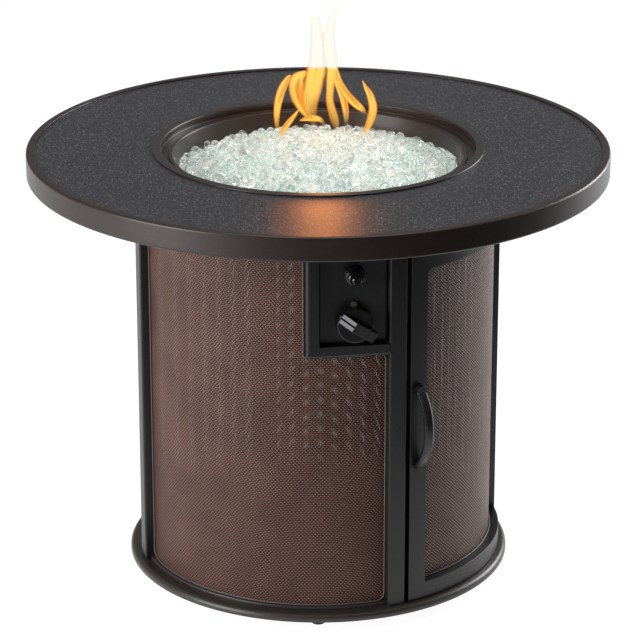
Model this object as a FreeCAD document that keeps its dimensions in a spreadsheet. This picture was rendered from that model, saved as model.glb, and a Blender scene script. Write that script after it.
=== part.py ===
"""Round gas fire pit table: a metal table top with a burner bowl, on a drum base with mesh panels.

Millimetres, +Z up. The origin is on the ground under the middle of the table. The control panel
faces -Y. An angle round the table is counted from the front (-Y) towards the right (+X).
"""
import FreeCAD, Part
import math
import os
import re
import Sketcher

os.makedirs("parts", exist_ok=True)
doc = FreeCAD.newDocument("FirePitTable")

# Driving dimensions, in millimetres and degrees
SIZES = {
    # table top
    "table_radius": 406.4,        # 32 inch table top
    "table_height": 622.3,        # 24 1/2 inches
    "rim_depth": 34,
    "rim_band": 11.4,             # flat band on top of the rim
    "rim_return": 20.4,           # lower flange of the rim
    "rim_sheet": 2.4,
    "rim_round": 3,
    "plate_sheet": 3,
    "plate_hole": 223.5,
    "support_inner": 238,
    "support_outer": 266,
    "support_sheet": 6,
    "arm_depth": 20,
    "arm_sheet": 5,
    "seam_gap": 0.1,              # between pieces that only lie against each other
    "bolt_radius": 3,
    "bolt_hole": 3.3,
    "bolt_head": 5.6,
    "bolt_head_height": 4,
    # burner bowl
    "bowl_flange": 232.5,
    "bowl_lip": 219.5,
    "bowl_ledge": 205.4,
    "ledge_drop": 12,             # this and each drop below is counted from the table's height
    "pan_rim": 209,
    "pan_mouth": 203.2,
    "pan_floor": 196,
    "pan_drop": 50,
    "bowl_sheet": 2,
    "lip_round": 1.5,
    "mouth_round": 0.8,
    "glass_edge": 198.8,
    "glass_edge_drop": 32,
    "glass_crown_drop": 21,
    "glass_hollow": 140,          # room for the burner under the glass
    "glass_hollow_drop": 32,
    "pebble_radius": 7,
    "pebble_sunk": 2,
    "pebble_pitch": 57,
    "burner_radius": 110,
    "burner_pipe": 6,
    "burner_drop": 41,
    "port_radius": 1.2,
    "hub_radius": 18,
    "feed_radius": 10,
    "feed_bore": 7,
    "feed_drop": 78,
    "locknut_height": 8,
    "mixer_radius": 12,
    "mixer_wall": 4,
    "mixer_drop": 98,
    "air_hole": 2.2,
    "sensor_circle": 126,
    "sensor_radius": 3.5,
    "sensor_sleeve": 20,          # the insulating sleeve, and below it the length of the tip
    "sensor_tip": 6,
    "sensor_sunk": 10,            # how far the sleeve reaches under the pan
    "shield_radius": 160,
    "shield_drop": 70,
    "shield_sheet": 1.5,
    "standoff_radius": 5,
    "standoff_inset": 20,
    # drum base
    "base_radius": 262,
    "ring_outer": 273,
    "frame_depth": 20,
    "frame_sheet": 2,
    "ring_foot": 17,
    "ring_top": 28,
    "ring_sheet": 2.5,
    "ring_inner": 226,
    "ring_round": 7,
    "ring_foot_round": 1.2,
    "bead_height": 4,             # the low rails, which only hold the mesh
    "bead_outer": 254,
    "bead_round": 1.5,
    "rail_height": 11,
    "post_width": 5.7,            # in degrees round the drum, 26 mm at the outside
    "post_wall": 1.5,
    "post_round": 2.5,
    "post_drop": 33.4,
    "mesh_outer": 248,
    "mesh_sheet": 1,
    "floor_radius": 229,
    "floor_sheet": 1.5,
    "vent_circle": 172,
    "vent_radius": 20,
    "seat_radius": 109,
    "seat_sheet": 3,
    "seat_height": 15,
    "post_left": -73.4,
    "post_center": 24.5,
    "post_right": 109.4,
    "post_back": 198,
    # control bay
    "control_angle": 9.05,
    "bay_half": 12.6,           # half the angle that the bay takes up
    "bay_front": 256,
    "bay_back": 242,
    "bay_foot": 400,
    "bay_rail": 17,
    "bay_stile": 18,
    "bay_round": 5,
    "plate_front": 247,
    "plate_thick": 1.5,
    "plate_border": 2,            # the plate's border is set back, all round a raised field
    "border_depth": 4,
    "control_across": 9,
    "knob_level": 447.5,
    "igniter_level": 515,
    "upper_screw_level": 472.5,
    "lower_screw_level": 429.5,
    "screw_radius": 2,
    "screw_head": 4.35,
    "screw_head_height": 2.4,
    "screw_slot": 1,
    "valve_front": 240,
    "valve_depth": 28,
    "valve_width": 36,
    "valve_foot": 432.5,
    "valve_height": 33,
    "lug_width": 14,
    "lug_depth": 2.5,             # how far the lugs reach behind the valve's face
    "stem_radius": 4,
    "stem_sunk": 14,
    "collar_gap": 4.6,
    "collar_wall": 2.6,
    "collar_height": 3,
    "knob_radius": 24.8,
    "knob_back": 254,
    "knob_skirt": 8,
    "knob_depth": 20.5,
    "knob_grip_width": 15,
    "knob_grip_left": 24,
    "knob_grip_right": 30,
    "grip_nose": 9.5,             # the grip's height at its pointer end, peak and tail
    "grip_peak": 3,
    "grip_tail": 16,
    "grip_round": 0.8,
    "mark_gap": 2.6,              # between the two painted marks
    "mark_width": 5.2,
    "mark_inset": 0.9,
    "knob_bore_depth": 10,
    "mark_thick": 0.4,
    "knob_rest_turn": 57,         # pointer's lean to the left of upright, as found
    "outlet_across": -18.5,       # to the left of the knob's axis
    "inlet_radius": 7.94,         # 5/8 inch thread of a 3/8 inch flare fitting
    "inlet_length": 17,
    "inlet_shoulder": 6,
    "tube_nut_radius": 9,
    "tube_nut_length": 13,
    "gas_tube_radius": 4,
    "gas_tube_wall": 1,
    "gas_tube_drop": 88,
    "gas_tube_bend": 28,
    "igniter_thread": 11,
    "igniter_collar": 14,
    "igniter_neck": 10.6,
    "igniter_front": 268,
    "igniter_bore": 7,
    "igniter_barrel": 46,         # behind the plate
    "igniter_step": 16,
    "ring_nut_wall": 5,
    "ring_nut_height": 6,
    "button_radius": 6.7,
    "button_front": 274.5,
    # door
    "door_start": 28.6,
    "door_end": 105.1,
    "door_foot": 29.5,
    "door_top": 536.5,
    "door_inner": 244,
    "door_stile": 5.8,            # degrees
    "window_foot": 53,
    "window_top": 514,
    "window_round": 10,
    "hinge_angle": 102.2,
    "hinge_radius": 252,
    "pivot_radius": 4,
    "running_gap": 0.05,
    "header_foot": 539,
    "handle_angle": 31.6,
    "handle_level": 288,
    "handle_spread": 112,         # between the two mounting bosses
    "handle_reach": 29,           # from the door's face to the outside of the bar
    "handle_thick": 8,
    "handle_width": 14,
    "handle_bow": 79,
    "handle_boss_height": 9,
    "handle_screw_head": 4,
    "handle_screw_head_height": 3,
    "handle_screw_length": 6,
    "catch_foot": 395,
    "catch_top": 435,
    # feet
    "foot_circle": 234.5,
    "foot_radius": 10.5,
    "foot_height": 11,
    "foot_chamfer": 1.5,
    "foot_shoulder": 4,
    "stud_radius": 4,
    "stud_top": 36,
    "nut_height": 6.5,
    "foot_nut_radius": 7.5,
}
# Heights that follow from the driving ones
LEVELS = {
    "plate_top": "table_height - rim_sheet",
    "plate_foot": "table_height - rim_sheet - plate_sheet",
    "support_foot": "table_height - rim_sheet - plate_sheet - support_sheet",
    "upper_ring_top": "table_height - rim_sheet - plate_sheet - support_sheet",
    "post_top": "table_height - post_drop",
    "ledge_level": "table_height - ledge_drop",
    "pan_level": "table_height - pan_drop",
    "glass_edge_level": "table_height - glass_edge_drop",
    "glass_crown_level": "table_height - glass_crown_drop",
    "glass_hollow_level": "table_height - glass_hollow_drop",
    "burner_level": "table_height - burner_drop",
    "feed_foot": "table_height - feed_drop",
    "mixer_foot": "table_height - mixer_drop",
    "shield_level": "table_height - shield_drop",
    "gas_tube_level": "table_height - gas_tube_drop",
}
ALIAS = re.compile(r"\b([a-z]+(?:_[a-z]+)+)\b")

sheet = doc.addObject("Spreadsheet::Sheet", "Sizes")
for row, (alias, value) in enumerate(SIZES.items(), start=1):
    sheet.set(f"A{row}", alias)
    sheet.set(f"B{row}", str(value))
    sheet.setAlias(f"B{row}", alias)
doc.recompute()


def cells(formula):
    """A formula in the sheet's aliases and the heights above, as the sheet's own expression."""
    spelled = ALIAS.sub(lambda name: f"({LEVELS.get(name[0], name[0])})", str(formula))
    return ALIAS.sub(r"Sizes.\1", spelled)


def value(formula):
    """The number that a formula in the sheet's aliases comes to."""
    return float(sheet.evalExpression(cells(formula)))


def around(angle, radius, level=0):
    """The point at an angle round the table, at a distance from its axis and a height."""
    turn = math.radians(value(angle))
    reach = value(radius)
    return FreeCAD.Vector(reach * math.sin(turn), -reach * math.cos(turn), value(level))


def turned(angle):
    """A turn about the table's axis."""
    return FreeCAD.Rotation(FreeCAD.Vector(0, 0, 1), value(angle))


def facing(angle):
    """Turns a piece drawn on the ground plane to stand up and face outwards at an angle."""
    return turned(angle) * FreeCAD.Rotation(FreeCAD.Vector(1, 0, 0), 90)


def bay_point(across, level, distance):
    """A point of the control bay: across and up its face, and out from the table's axis."""
    local = FreeCAD.Vector(value(across), -value(distance), value(level))
    return turned("control_angle").multVec(local)


def new_body(label, placement=None):
    body = doc.addObject("PartDesign::Body", label)
    body.Label = label
    if placement:
        body.Placement = placement
    return body


def new_sketch(body, role, lift=None):
    """A sketch on one of the body's own origin planes, lifted off it by a formula if asked."""
    sketch = body.newObject("Sketcher::SketchObject", body.Name + "Sketch")
    plane = next(item for item in body.Origin.OriginFeatures if item.Role == role)
    sketch.AttachmentSupport = (plane, "")
    sketch.MapMode = "FlatFace"
    if lift:
        sketch.setExpression("AttachmentOffset.Base.z", cells(lift))
    return sketch


def pin_point(sketch, geometry, position, point):
    """Ties one point of a sketch to the formulas of its two coordinates."""
    for kind, axis, formula in zip(("DistanceX", "DistanceY"), (-2, -1), point):
        if value(formula) == 0:
            sketch.addConstraint(Sketcher.Constraint("PointOnObject", geometry, position, axis))
            continue
        index = sketch.addConstraint(
            Sketcher.Constraint(kind, -1, 1, geometry, position, value(formula)))
        name = f"{kind}{geometry}"
        sketch.renameConstraint(index, name)
        sketch.setExpression("Constraints." + name, cells(formula))


def draw_outline(sketch, points):
    """A closed outline of straight lines, with both coordinates of each corner as formulas."""
    first = sketch.GeometryCount
    corners = [FreeCAD.Vector(value(x), value(y), 0) for x, y in points]
    count = len(points)
    for index in range(count):
        line = Part.LineSegment(corners[index], corners[(index + 1) % count])
        sketch.addGeometry(line, False)
    for index in range(count):
        following = first + (index + 1) % count
        sketch.addConstraint(Sketcher.Constraint("Coincident", first + index, 2, following, 1))
    for index, point in enumerate(points):
        pin_point(sketch, first + index, 1, point)


def draw_circle(sketch, x, y, radius):
    centre = FreeCAD.Vector(value(x), value(y), 0)
    circle = Part.Circle(centre, FreeCAD.Vector(0, 0, 1), value(radius))
    geometry = sketch.addGeometry(circle, False)
    pin_point(sketch, geometry, 3, (x, y))
    index = sketch.addConstraint(Sketcher.Constraint("Radius", geometry, value(radius)))
    sketch.renameConstraint(index, f"Radius{geometry}")
    sketch.setExpression(f"Constraints.Radius{geometry}", cells(radius))


def rectangle(left, right, low, high):
    return [(left, low), (right, low), (right, high), (left, high)]


def revolve(label, points, start=None, end=None, placement=None):
    """An outline of radius and height turned about the vertical, all round or between angles."""
    if start is not None:
        middle = f"(({start}) + ({end})) / 2 - 90"
        placement = FreeCAD.Placement(FreeCAD.Vector(), turned(middle))
    body = new_body(label, placement)
    sketch = new_sketch(body, "XZ_Plane")
    draw_outline(sketch, points)
    turn = body.newObject("PartDesign::Revolution", label + "Turn")
    turn.Profile = sketch
    turn.ReferenceAxis = (sketch, ["V_Axis"])
    turn.Midplane = True
    turn.setExpression("Angle", cells(f"({end}) - ({start})") if start is not None else "360")
    doc.recompute()
    return body


def groove(body, points, angle):
    """Cuts an outline of radius and height out of a body, over an angle about its middle."""
    before = body.Shape.Volume
    sketch = new_sketch(body, "XZ_Plane")
    draw_outline(sketch, points)
    feature = body.newObject("PartDesign::Groove", body.Name + "Groove")
    feature.Profile = sketch
    feature.ReferenceAxis = (sketch, ["V_Axis"])
    feature.Midplane = True
    feature.setExpression("Angle", cells(angle))
    doc.recompute()
    assert body.Shape.Volume < before, body.Label + ": the groove cuts nothing"


def pad(body, outlines, height, lift=None, circles=()):
    """Adds a straight piece over outlines and circles drawn on the body's ground plane."""
    sketch = new_sketch(body, "XY_Plane", lift)
    for points in outlines:
        draw_outline(sketch, points)
    for circle in circles:
        draw_circle(sketch, *circle)
    feature = body.newObject("PartDesign::Pad", body.Name + "Pad")
    feature.Profile = sketch
    feature.setExpression("Length", cells(height))
    doc.recompute()
    return feature


def drill(body, circles):
    """Cuts round holes right through a body, along its own vertical."""
    sketch = new_sketch(body, "XY_Plane")
    for circle in circles:
        draw_circle(sketch, *circle)
    before = body.Shape.Volume
    pocket = body.newObject("PartDesign::Pocket", body.Name + "Holes")
    pocket.Profile = sketch
    pocket.Type = "ThroughAll"
    pocket.Midplane = True
    doc.recompute()
    assert body.Shape.Volume < before, body.Label + ": the holes cut nothing"


def round_edges(body, radius, wanted):
    """Rounds the edges for which wanted(edge) is true, with coordinates in the body's frame."""
    base = body.Tip
    names = []
    for index, edge in enumerate(base.Shape.Edges, start=1):
        if wanted(edge):
            names.append(f"Edge{index}")
    assert names, body.Label + ": no edge to round"
    fillet = body.newObject("PartDesign::Fillet", body.Name + "Round")
    fillet.Base = (base, names)
    fillet.setExpression("Radius", cells(radius))
    doc.recompute()


def on_circle(radius, level):
    """A test for the round edges at one radius and height."""
    def wanted(edge):
        ends = [edge.valueAt(edge.FirstParameter), edge.valueAt(edge.LastParameter)]
        return all(abs(math.hypot(p.x, p.y) - value(radius)) < 0.01
                   and abs(p.z - value(level)) < 0.01 for p in ends)
    return wanted


def upright_at(radius):
    """A test for the upright edges at one radius."""
    def wanted(edge):
        ends = [edge.valueAt(edge.FirstParameter), edge.valueAt(edge.LastParameter)]
        level = abs(ends[0].z - ends[1].z) > 1
        return level and all(abs(math.hypot(p.x, p.y) - value(radius)) < 0.05 for p in ends)
    return wanted


def at_level(level):
    """A test for the edges that lie at one height."""
    def wanted(edge):
        ends = [edge.valueAt(edge.FirstParameter), edge.valueAt(edge.LastParameter)]
        return all(abs(p.z - value(level)) < 0.01 for p in ends)
    return wanted


def cylinder(label, radius, height, where, rotation=None):
    """A plain round bar that starts at a point and runs along its own vertical."""
    item = doc.addObject("Part::Cylinder", label)
    item.Label = label
    item.setExpression("Radius", cells(radius))
    item.setExpression("Height", cells(height))
    item.Placement = FreeCAD.Placement(where, rotation or FreeCAD.Rotation())
    return item


def hexagon(label, radius, height, where, rotation=None):
    item = doc.addObject("Part::Prism", label)
    item.Label = label
    item.Polygon = 6
    item.setExpression("Circumradius", cells(radius))
    item.setExpression("Height", cells(height))
    item.Placement = FreeCAD.Placement(where, rotation or FreeCAD.Rotation())
    return item


def combine(kind, label, items):
    """A compound or a fusion of several shapes."""
    item = doc.addObject(kind, label)
    item.Label = label
    if kind == "Part::Compound":
        item.Links = items
    else:
        item.Shapes = items
    return item


def cut(label, base, tool):
    item = doc.addObject("Part::Cut", label)
    item.Label = label
    item.Base = base
    item.Tool = tool
    return item


nodes = []


def keep(*items):
    """Marks finished sub-parts, each to be written to a file of its own."""
    nodes.extend(items)


# Table top: rolled rim, sheet inlay and the frame under them
rim = revolve("table_rim", [
    ("table_radius - rim_band", "table_height"),
    ("table_radius", "table_height"),
    ("table_radius", "table_height - rim_depth"),
    ("table_radius - rim_return", "table_height - rim_depth"),
    ("table_radius - rim_return", "table_height - rim_depth + rim_sheet"),
    ("table_radius - rim_sheet", "table_height - rim_depth + rim_sheet"),
    ("table_radius - rim_sheet", "table_height - rim_sheet"),
    ("table_radius - rim_band", "table_height - rim_sheet"),
])
for level in ("table_height", "table_height - rim_depth"):
    round_edges(rim, "rim_round", on_circle("table_radius", level))
plate = revolve("top_plate", rectangle(
    "plate_hole", "table_radius - rim_sheet - seam_gap", "plate_foot", "plate_top"))
BOLT_CIRCLE = "(base_radius - frame_depth / 2)"
BOLT_ANGLES = [22.5 + 45 * index for index in range(8)]


def polar(angle, radius):
    """The ground-plane formulas of a point at an angle round the table."""
    return f"({radius}) * sin({angle})", f"-({radius}) * cos({angle})"


support = revolve("top_support_ring", rectangle(
    "support_inner", "support_outer", "support_foot", "plate_foot"))
drill(support, [(*polar(angle, BOLT_CIRCLE), "bolt_radius") for angle in BOLT_ANGLES])
arms = []
for index in range(8):
    arm = new_body(f"TopArm{index}", FreeCAD.Placement(
        FreeCAD.Vector(0, 0, value("plate_foot - arm_depth")), turned(45 * index - 90)))
    pad(arm, [rectangle("support_outer", "table_radius - rim_sheet - seam_gap",
                        "-arm_sheet / 2", "arm_sheet / 2")], "arm_depth")
    arms.append(arm)
keep(rim, plate, support, combine("Part::Compound", "top_support_arms", arms))

# Bowl trim, let into the hole of the top plate, and the burner pan that hangs in its ledge
trim = revolve("bowl_trim", [
    ("bowl_flange", "plate_top"),
    ("bowl_flange", "table_height"),
    ("bowl_lip", "table_height"),
    ("bowl_lip", "ledge_level"),
    ("bowl_ledge", "ledge_level"),
    ("bowl_ledge", "ledge_level - bowl_sheet"),
    ("bowl_lip + bowl_sheet", "ledge_level - bowl_sheet"),
    ("bowl_lip + bowl_sheet", "plate_top"),
])
round_edges(trim, "lip_round", on_circle("bowl_lip", "table_height"))
bowl = revolve("burner_pan", [
    ("pan_rim", "ledge_level"),
    ("pan_rim", "ledge_level + bowl_sheet"),
    ("pan_mouth", "ledge_level + bowl_sheet"),
    ("pan_floor", "pan_level"),
    ("feed_radius + seam_gap", "pan_level"),
    ("feed_radius + seam_gap", "pan_level - bowl_sheet"),
    ("pan_floor + bowl_sheet * 0.8", "pan_level - bowl_sheet"),
    ("pan_mouth + bowl_sheet", "ledge_level"),
])
round_edges(bowl, "mouth_round", on_circle("pan_mouth", "ledge_level + bowl_sheet"))
SENSOR_ANGLES = {"igniter_electrode": 20, "thermocouple": -20}
drill(bowl, [(*polar(angle, "sensor_circle"), "sensor_radius + seam_gap")
             for angle in SENSOR_ANGLES.values()])

# The burner: a ring of pipe with gas ports, four spokes and a hub, on a feed pipe
burner_pieces = [doc.addObject("Part::Torus", "BurnerPipe")]
burner_pieces[0].setExpression("Radius1", cells("burner_radius"))
burner_pieces[0].setExpression("Radius2", cells("burner_pipe"))
burner_pieces[0].Placement.Base = FreeCAD.Vector(0, 0, value("burner_level"))
for index in range(4):
    spoke = cylinder(f"BurnerSpoke{index}", "burner_pipe * 0.8", "burner_radius",
                     FreeCAD.Vector(0, 0, value("burner_level")), facing(90 * index))
    burner_pieces.append(spoke)
hub_foot = FreeCAD.Vector(0, 0, value("pan_level"))
burner_pieces.append(cylinder("BurnerHub", "hub_radius", "glass_hollow_level - pan_level - 1",
                              hub_foot))
burner_blank = combine("Part::MultiFuse", "BurnerBlank", burner_pieces)
ports = []
for index in range(24):
    where = around(7.5 + 15 * index, "burner_radius", "burner_level + burner_pipe / 2")
    ports.append(cylinder(f"GasPort{index}", "port_radius", "burner_pipe", where))
burner = cut("burner_ring", burner_blank, combine("Part::Compound", "GasPorts", ports))
feed = revolve("burner_feed", rectangle(
    "feed_bore", "feed_radius", "feed_foot", "pan_level"))
locknut_foot = FreeCAD.Vector(0, 0, value("pan_level - bowl_sheet - locknut_height"))
locknut_blank = hexagon("LocknutBlank", "feed_radius * 1.8", "locknut_height", locknut_foot)
locknut_bore = cylinder("LocknutBore", "feed_radius + running_gap", "locknut_height", locknut_foot)
locknut = cut("burner_locknut", locknut_blank, locknut_bore)
mixer_blank = revolve("MixerBlank", [
    ("mixer_radius - mixer_wall", "mixer_foot + mixer_wall"),
    ("0", "mixer_foot + mixer_wall"),
    ("0", "mixer_foot"),
    ("mixer_radius", "mixer_foot"),
    ("mixer_radius", "feed_foot"),
    ("mixer_radius - mixer_wall", "feed_foot"),
])
air_holes = []
for index in range(4):
    where = FreeCAD.Vector(0, 0, value("feed_foot - 2 * air_hole"))
    air_holes.append(cylinder(f"AirHole{index}", "air_hole", "mixer_radius + 1", where,
                              facing(55 + 90 * index)))
mixer = cut("air_mixer", mixer_blank, combine("Part::MultiFuse", "AirHoles", air_holes))
shield = revolve("heat_shield", rectangle(
    "feed_radius + mixer_wall", "shield_radius", "shield_level", "shield_level + shield_sheet"))
standoffs = []
for index in range(3):
    where = around(60 + 120 * index, "shield_radius - standoff_inset",
                   "shield_level + shield_sheet")
    standoffs.append(cylinder(f"Standoff{index}", "standoff_radius",
                              "pan_level - bowl_sheet - shield_level - shield_sheet", where))
keep(trim, bowl, burner, feed, locknut, mixer, shield)
keep(combine("Part::Compound", "shield_standoffs", standoffs))

# The spark electrode and the flame sensor stand beside the burner pipe, under the glass
for label, angle in SENSOR_ANGLES.items():
    where = around(angle, "sensor_circle", "pan_level - sensor_sunk")
    keep(revolve(label, [
        ("0", "0"),
        ("sensor_radius", "0"),
        ("sensor_radius", "sensor_sleeve"),
        ("sensor_radius * 0.4", "sensor_sleeve + 1"),
        ("sensor_radius * 0.4", "sensor_sleeve + sensor_tip"),
        ("0", "sensor_sleeve + sensor_tip"),
    ], placement=FreeCAD.Placement(where, FreeCAD.Rotation())))

# The bed of fire glass, crowned in the middle and hollow where the burner is
GLASS_TOP = [
    ("glass_edge", "glass_edge_level"),
    ("glass_edge - 25", "glass_edge_level + (glass_crown_level - glass_edge_level) * 0.45"),
    ("glass_edge - 70", "glass_edge_level + (glass_crown_level - glass_edge_level) * 0.8"),
    ("glass_edge - 130", "glass_edge_level + (glass_crown_level - glass_edge_level) * 0.96"),
    ("0", "glass_crown_level"),
]
glass_bed = revolve("GlassBed", [
    ("0", "glass_hollow_level"),
    ("glass_hollow", "glass_hollow_level"),
    ("glass_hollow", "pan_level"),
    ("pan_floor - 0.5", "pan_level"),
    *GLASS_TOP,
])


def glass_level(radius):
    """The height of the bed's top at a distance from the table's axis, between its corners."""
    for (outer, low), (inner, high) in zip(GLASS_TOP, GLASS_TOP[1:]):
        if value(inner) <= radius:
            share = (value(outer) - radius) / (value(outer) - value(inner))
            return value(low) + (value(high) - value(low)) * share


# The largest pebbles stand out of the bed, in rings of six, twelve and eighteen round a middle one
pebbles = []
for ring in range(4):
    for index in range(max(6 * ring, 1)):
        reach = ring * value("pebble_pitch")
        pebble = doc.addObject("Part::Sphere", f"Pebble{ring}_{index}")
        pebble.setExpression("Radius", cells("pebble_radius"))
        pebble.Placement.Base = around(360 * index / max(6 * ring, 1) + 15 * ring, reach,
                                       glass_level(reach) - value("pebble_sunk"))
        pebbles.append(pebble)
keep(combine("Part::MultiFuse", "fire_glass", [glass_bed, *pebbles]))

# The base ring that everything stands on, an angle section with its flange turned inwards
base = revolve("base_ring", [
    ("ring_outer - ring_sheet", "ring_foot"),
    ("ring_outer", "ring_foot"),
    ("ring_outer", "ring_top"),
    ("ring_inner", "ring_top"),
    ("ring_inner", "ring_top - ring_sheet"),
    ("ring_outer - ring_sheet", "ring_top - ring_sheet"),
])
round_edges(base, "ring_round - ring_sheet",
            on_circle("ring_outer - ring_sheet", "ring_top - ring_sheet"))
round_edges(base, "ring_round", on_circle("ring_outer", "ring_top"))
round_edges(base, "ring_foot_round", on_circle("ring_outer", "ring_foot"))
# The side feet stand behind the middle, clear of the door
FOOT_ANGLES = {"front": 0, "right": 114, "back": 180, "left": 246}
stud_holes = [(*polar(angle, "foot_circle"), "stud_radius + running_gap")
              for angle in FOOT_ANGLES.values()]
pivot_hole = (*polar("hinge_angle", "hinge_radius"), "pivot_radius")
drill(base, stud_holes + [pivot_hole])
floor_body = new_body("floor_plate", FreeCAD.Placement(
    FreeCAD.Vector(0, 0, value("ring_top")), FreeCAD.Rotation()))
vents = [(*polar(22.5 + 45 * index, "vent_circle"), "vent_radius") for index in range(8)]
pad(floor_body, [], "floor_sheet", circles=[("0", "0", "floor_radius"), *vents])
seat = revolve("tank_seat", rectangle(
    "seat_radius - seat_sheet", "seat_radius",
    "ring_top + floor_sheet", "ring_top + floor_sheet + seat_height"))
keep(base, floor_body, seat)

# The upper ring, a channel, is bolted up to the support ring of the table top
upper = revolve("upper_ring", [
    ("base_radius - frame_depth", "post_top"),
    ("base_radius - frame_depth + frame_sheet", "post_top"),
    ("base_radius - frame_depth + frame_sheet", "upper_ring_top - frame_sheet"),
    ("base_radius - frame_sheet", "upper_ring_top - frame_sheet"),
    ("base_radius - frame_sheet", "post_top"),
    ("base_radius", "post_top"),
    ("base_radius", "upper_ring_top"),
    ("base_radius - frame_depth", "upper_ring_top"),
])
drill(upper, [(*polar(angle, BOLT_CIRCLE), "bolt_hole") for angle in BOLT_ANGLES])
bolts = []
for index, angle in enumerate(BOLT_ANGLES):
    head_foot = around(angle, BOLT_CIRCLE, "upper_ring_top - frame_sheet - bolt_head_height")
    shank_foot = around(angle, BOLT_CIRCLE, "upper_ring_top - frame_sheet")
    bolts.append(combine("Part::MultiFuse", f"TopBolt{index}", [
        hexagon(f"TopBoltHead{index}", "bolt_head", "bolt_head_height", head_foot),
        cylinder(f"TopBoltShank{index}", "bolt_radius", "frame_sheet + support_sheet - 1",
                 shank_foot),
    ]))
keep(upper, combine("Part::Compound", "top_bolts", bolts))

# Posts: rolled box tubes from the base ring to the upper ring
POSTS = ("post_left", "post_center", "post_right", "post_back")
for label in POSTS:
    post = revolve(label, rectangle(
        "base_radius - frame_depth", "base_radius", "ring_top", "post_top"),
        f"{label} - post_width / 2", f"{label} + post_width / 2")
    round_edges(post, "post_round", upright_at("base_radius"))
    groove(post, rectangle("base_radius - frame_depth + post_wall", "base_radius - post_wall",
                           "ring_top - 5", "post_top + 5"),
           "post_width - 2 * post_wall * 57.3 / base_radius")
    keep(post)

# Panel rails, above the base ring and under the upper ring
HALF_POST = "post_width / 2"
PANELS = {
    "front": (f"post_left + {HALF_POST}", f"post_center - {HALF_POST}"),
    "left": (f"post_back - 360 + {HALF_POST}", f"post_left - {HALF_POST}"),
    "rear": (f"post_right + {HALF_POST}", f"post_back - {HALF_POST}"),
}
BAY_LEFT = "(control_angle - bay_half)"
for side, (start, end) in PANELS.items():
    low_outline = rectangle("base_radius - frame_depth", "bead_outer",
                            "ring_top", "ring_top + bead_height")
    lower = revolve(f"rail_{side}_lower", low_outline, start, end)
    round_edges(lower, "bead_round", on_circle("bead_outer", "ring_top + bead_height"))
    high_end = f"{BAY_LEFT} - 1.1" if side == "front" else end
    high_outline = rectangle("base_radius - frame_depth", "base_radius",
                             "post_top - rail_height", "post_top")
    keep(lower, revolve(f"rail_{side}_upper", high_outline, start, high_end))

# Woven mesh panels, stretched behind the posts and rails
MESH_LOW = "ring_top + bead_height"
MESH_HIGH = "post_top - rail_height"
mesh_outline = rectangle("mesh_outer - mesh_sheet", "mesh_outer", MESH_LOW, MESH_HIGH)
keep(revolve("mesh_left", mesh_outline, *PANELS["left"]))
keep(revolve("mesh_rear", mesh_outline, *PANELS["rear"]))
mesh_blank = revolve("FrontMeshBlank", mesh_outline, *PANELS["front"])
bay_cutter = doc.addObject("Part::Cylinder", "BayCutter")
bay_cutter.setExpression("Radius", cells("base_radius"))
bay_cutter.setExpression("Height", cells("post_top - bay_foot"))
bay_cutter.setExpression("Angle", cells("2 * bay_half + 5"))
frame_side = value("asin(bay_front * tan(bay_half) / (mesh_outer - mesh_sheet))")
bay_cutter.Placement = FreeCAD.Placement(
    FreeCAD.Vector(0, 0, value("bay_foot")), turned(f"control_angle - {frame_side} - 90"))
keep(cut("mesh_front", mesh_blank, bay_cutter))

# Control bay: a frame of flat bar let into the drum, with a recessed plate
bay_turn = FreeCAD.Placement(FreeCAD.Vector(0, 0, value("bay_foot")), turned("control_angle"))
bay = new_body("control_frame", bay_turn)
BAY_HALF_FRONT = "bay_front * tan(bay_half)"
pad(bay, [[
    (f"-{BAY_HALF_FRONT}", "-bay_front"),
    (BAY_HALF_FRONT, "-bay_front"),
    ("bay_back * tan(bay_half)", "-bay_back"),
    (f"-{BAY_HALF_FRONT}", "-bay_back"),
]], "bay_rail")
pad(bay, [rectangle(f"-{BAY_HALF_FRONT}", f"-{BAY_HALF_FRONT} + bay_stile",
                    "-bay_front", "-bay_back")],
    "post_top - bay_foot - bay_rail", lift="bay_rail")


def bay_outer_corner(edge):
    """The stile's upright outer corner and the rail's lower front edge."""
    ends = [edge.valueAt(edge.FirstParameter), edge.valueAt(edge.LastParameter)]
    left = all(abs(p.x + value(BAY_HALF_FRONT)) < 0.01 for p in ends)
    front = all(abs(p.y + value("bay_front")) < 0.01 for p in ends)
    low = all(abs(p.z) < 0.01 for p in ends)
    return front and (left or low)


round_edges(bay, "bay_round", bay_outer_corner)
PLATE_BACK = "(plate_front - plate_thick)"
BORDER_FRONT = "(plate_front - border_depth)"


def plate_outline(inset, front, back):
    """The plate's outline seen from above, drawn in by an inset from the stile and the post."""
    left = f"-{BAY_HALF_FRONT} + bay_stile + {inset}"
    return [
        (left, f"-{front}"),
        (f"{front} * tan(bay_half) - {inset}", f"-{front}"),
        (f"{back} * tan(bay_half) - {inset}", f"-{back}"),
        (left, f"-{back}"),
    ]


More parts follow.
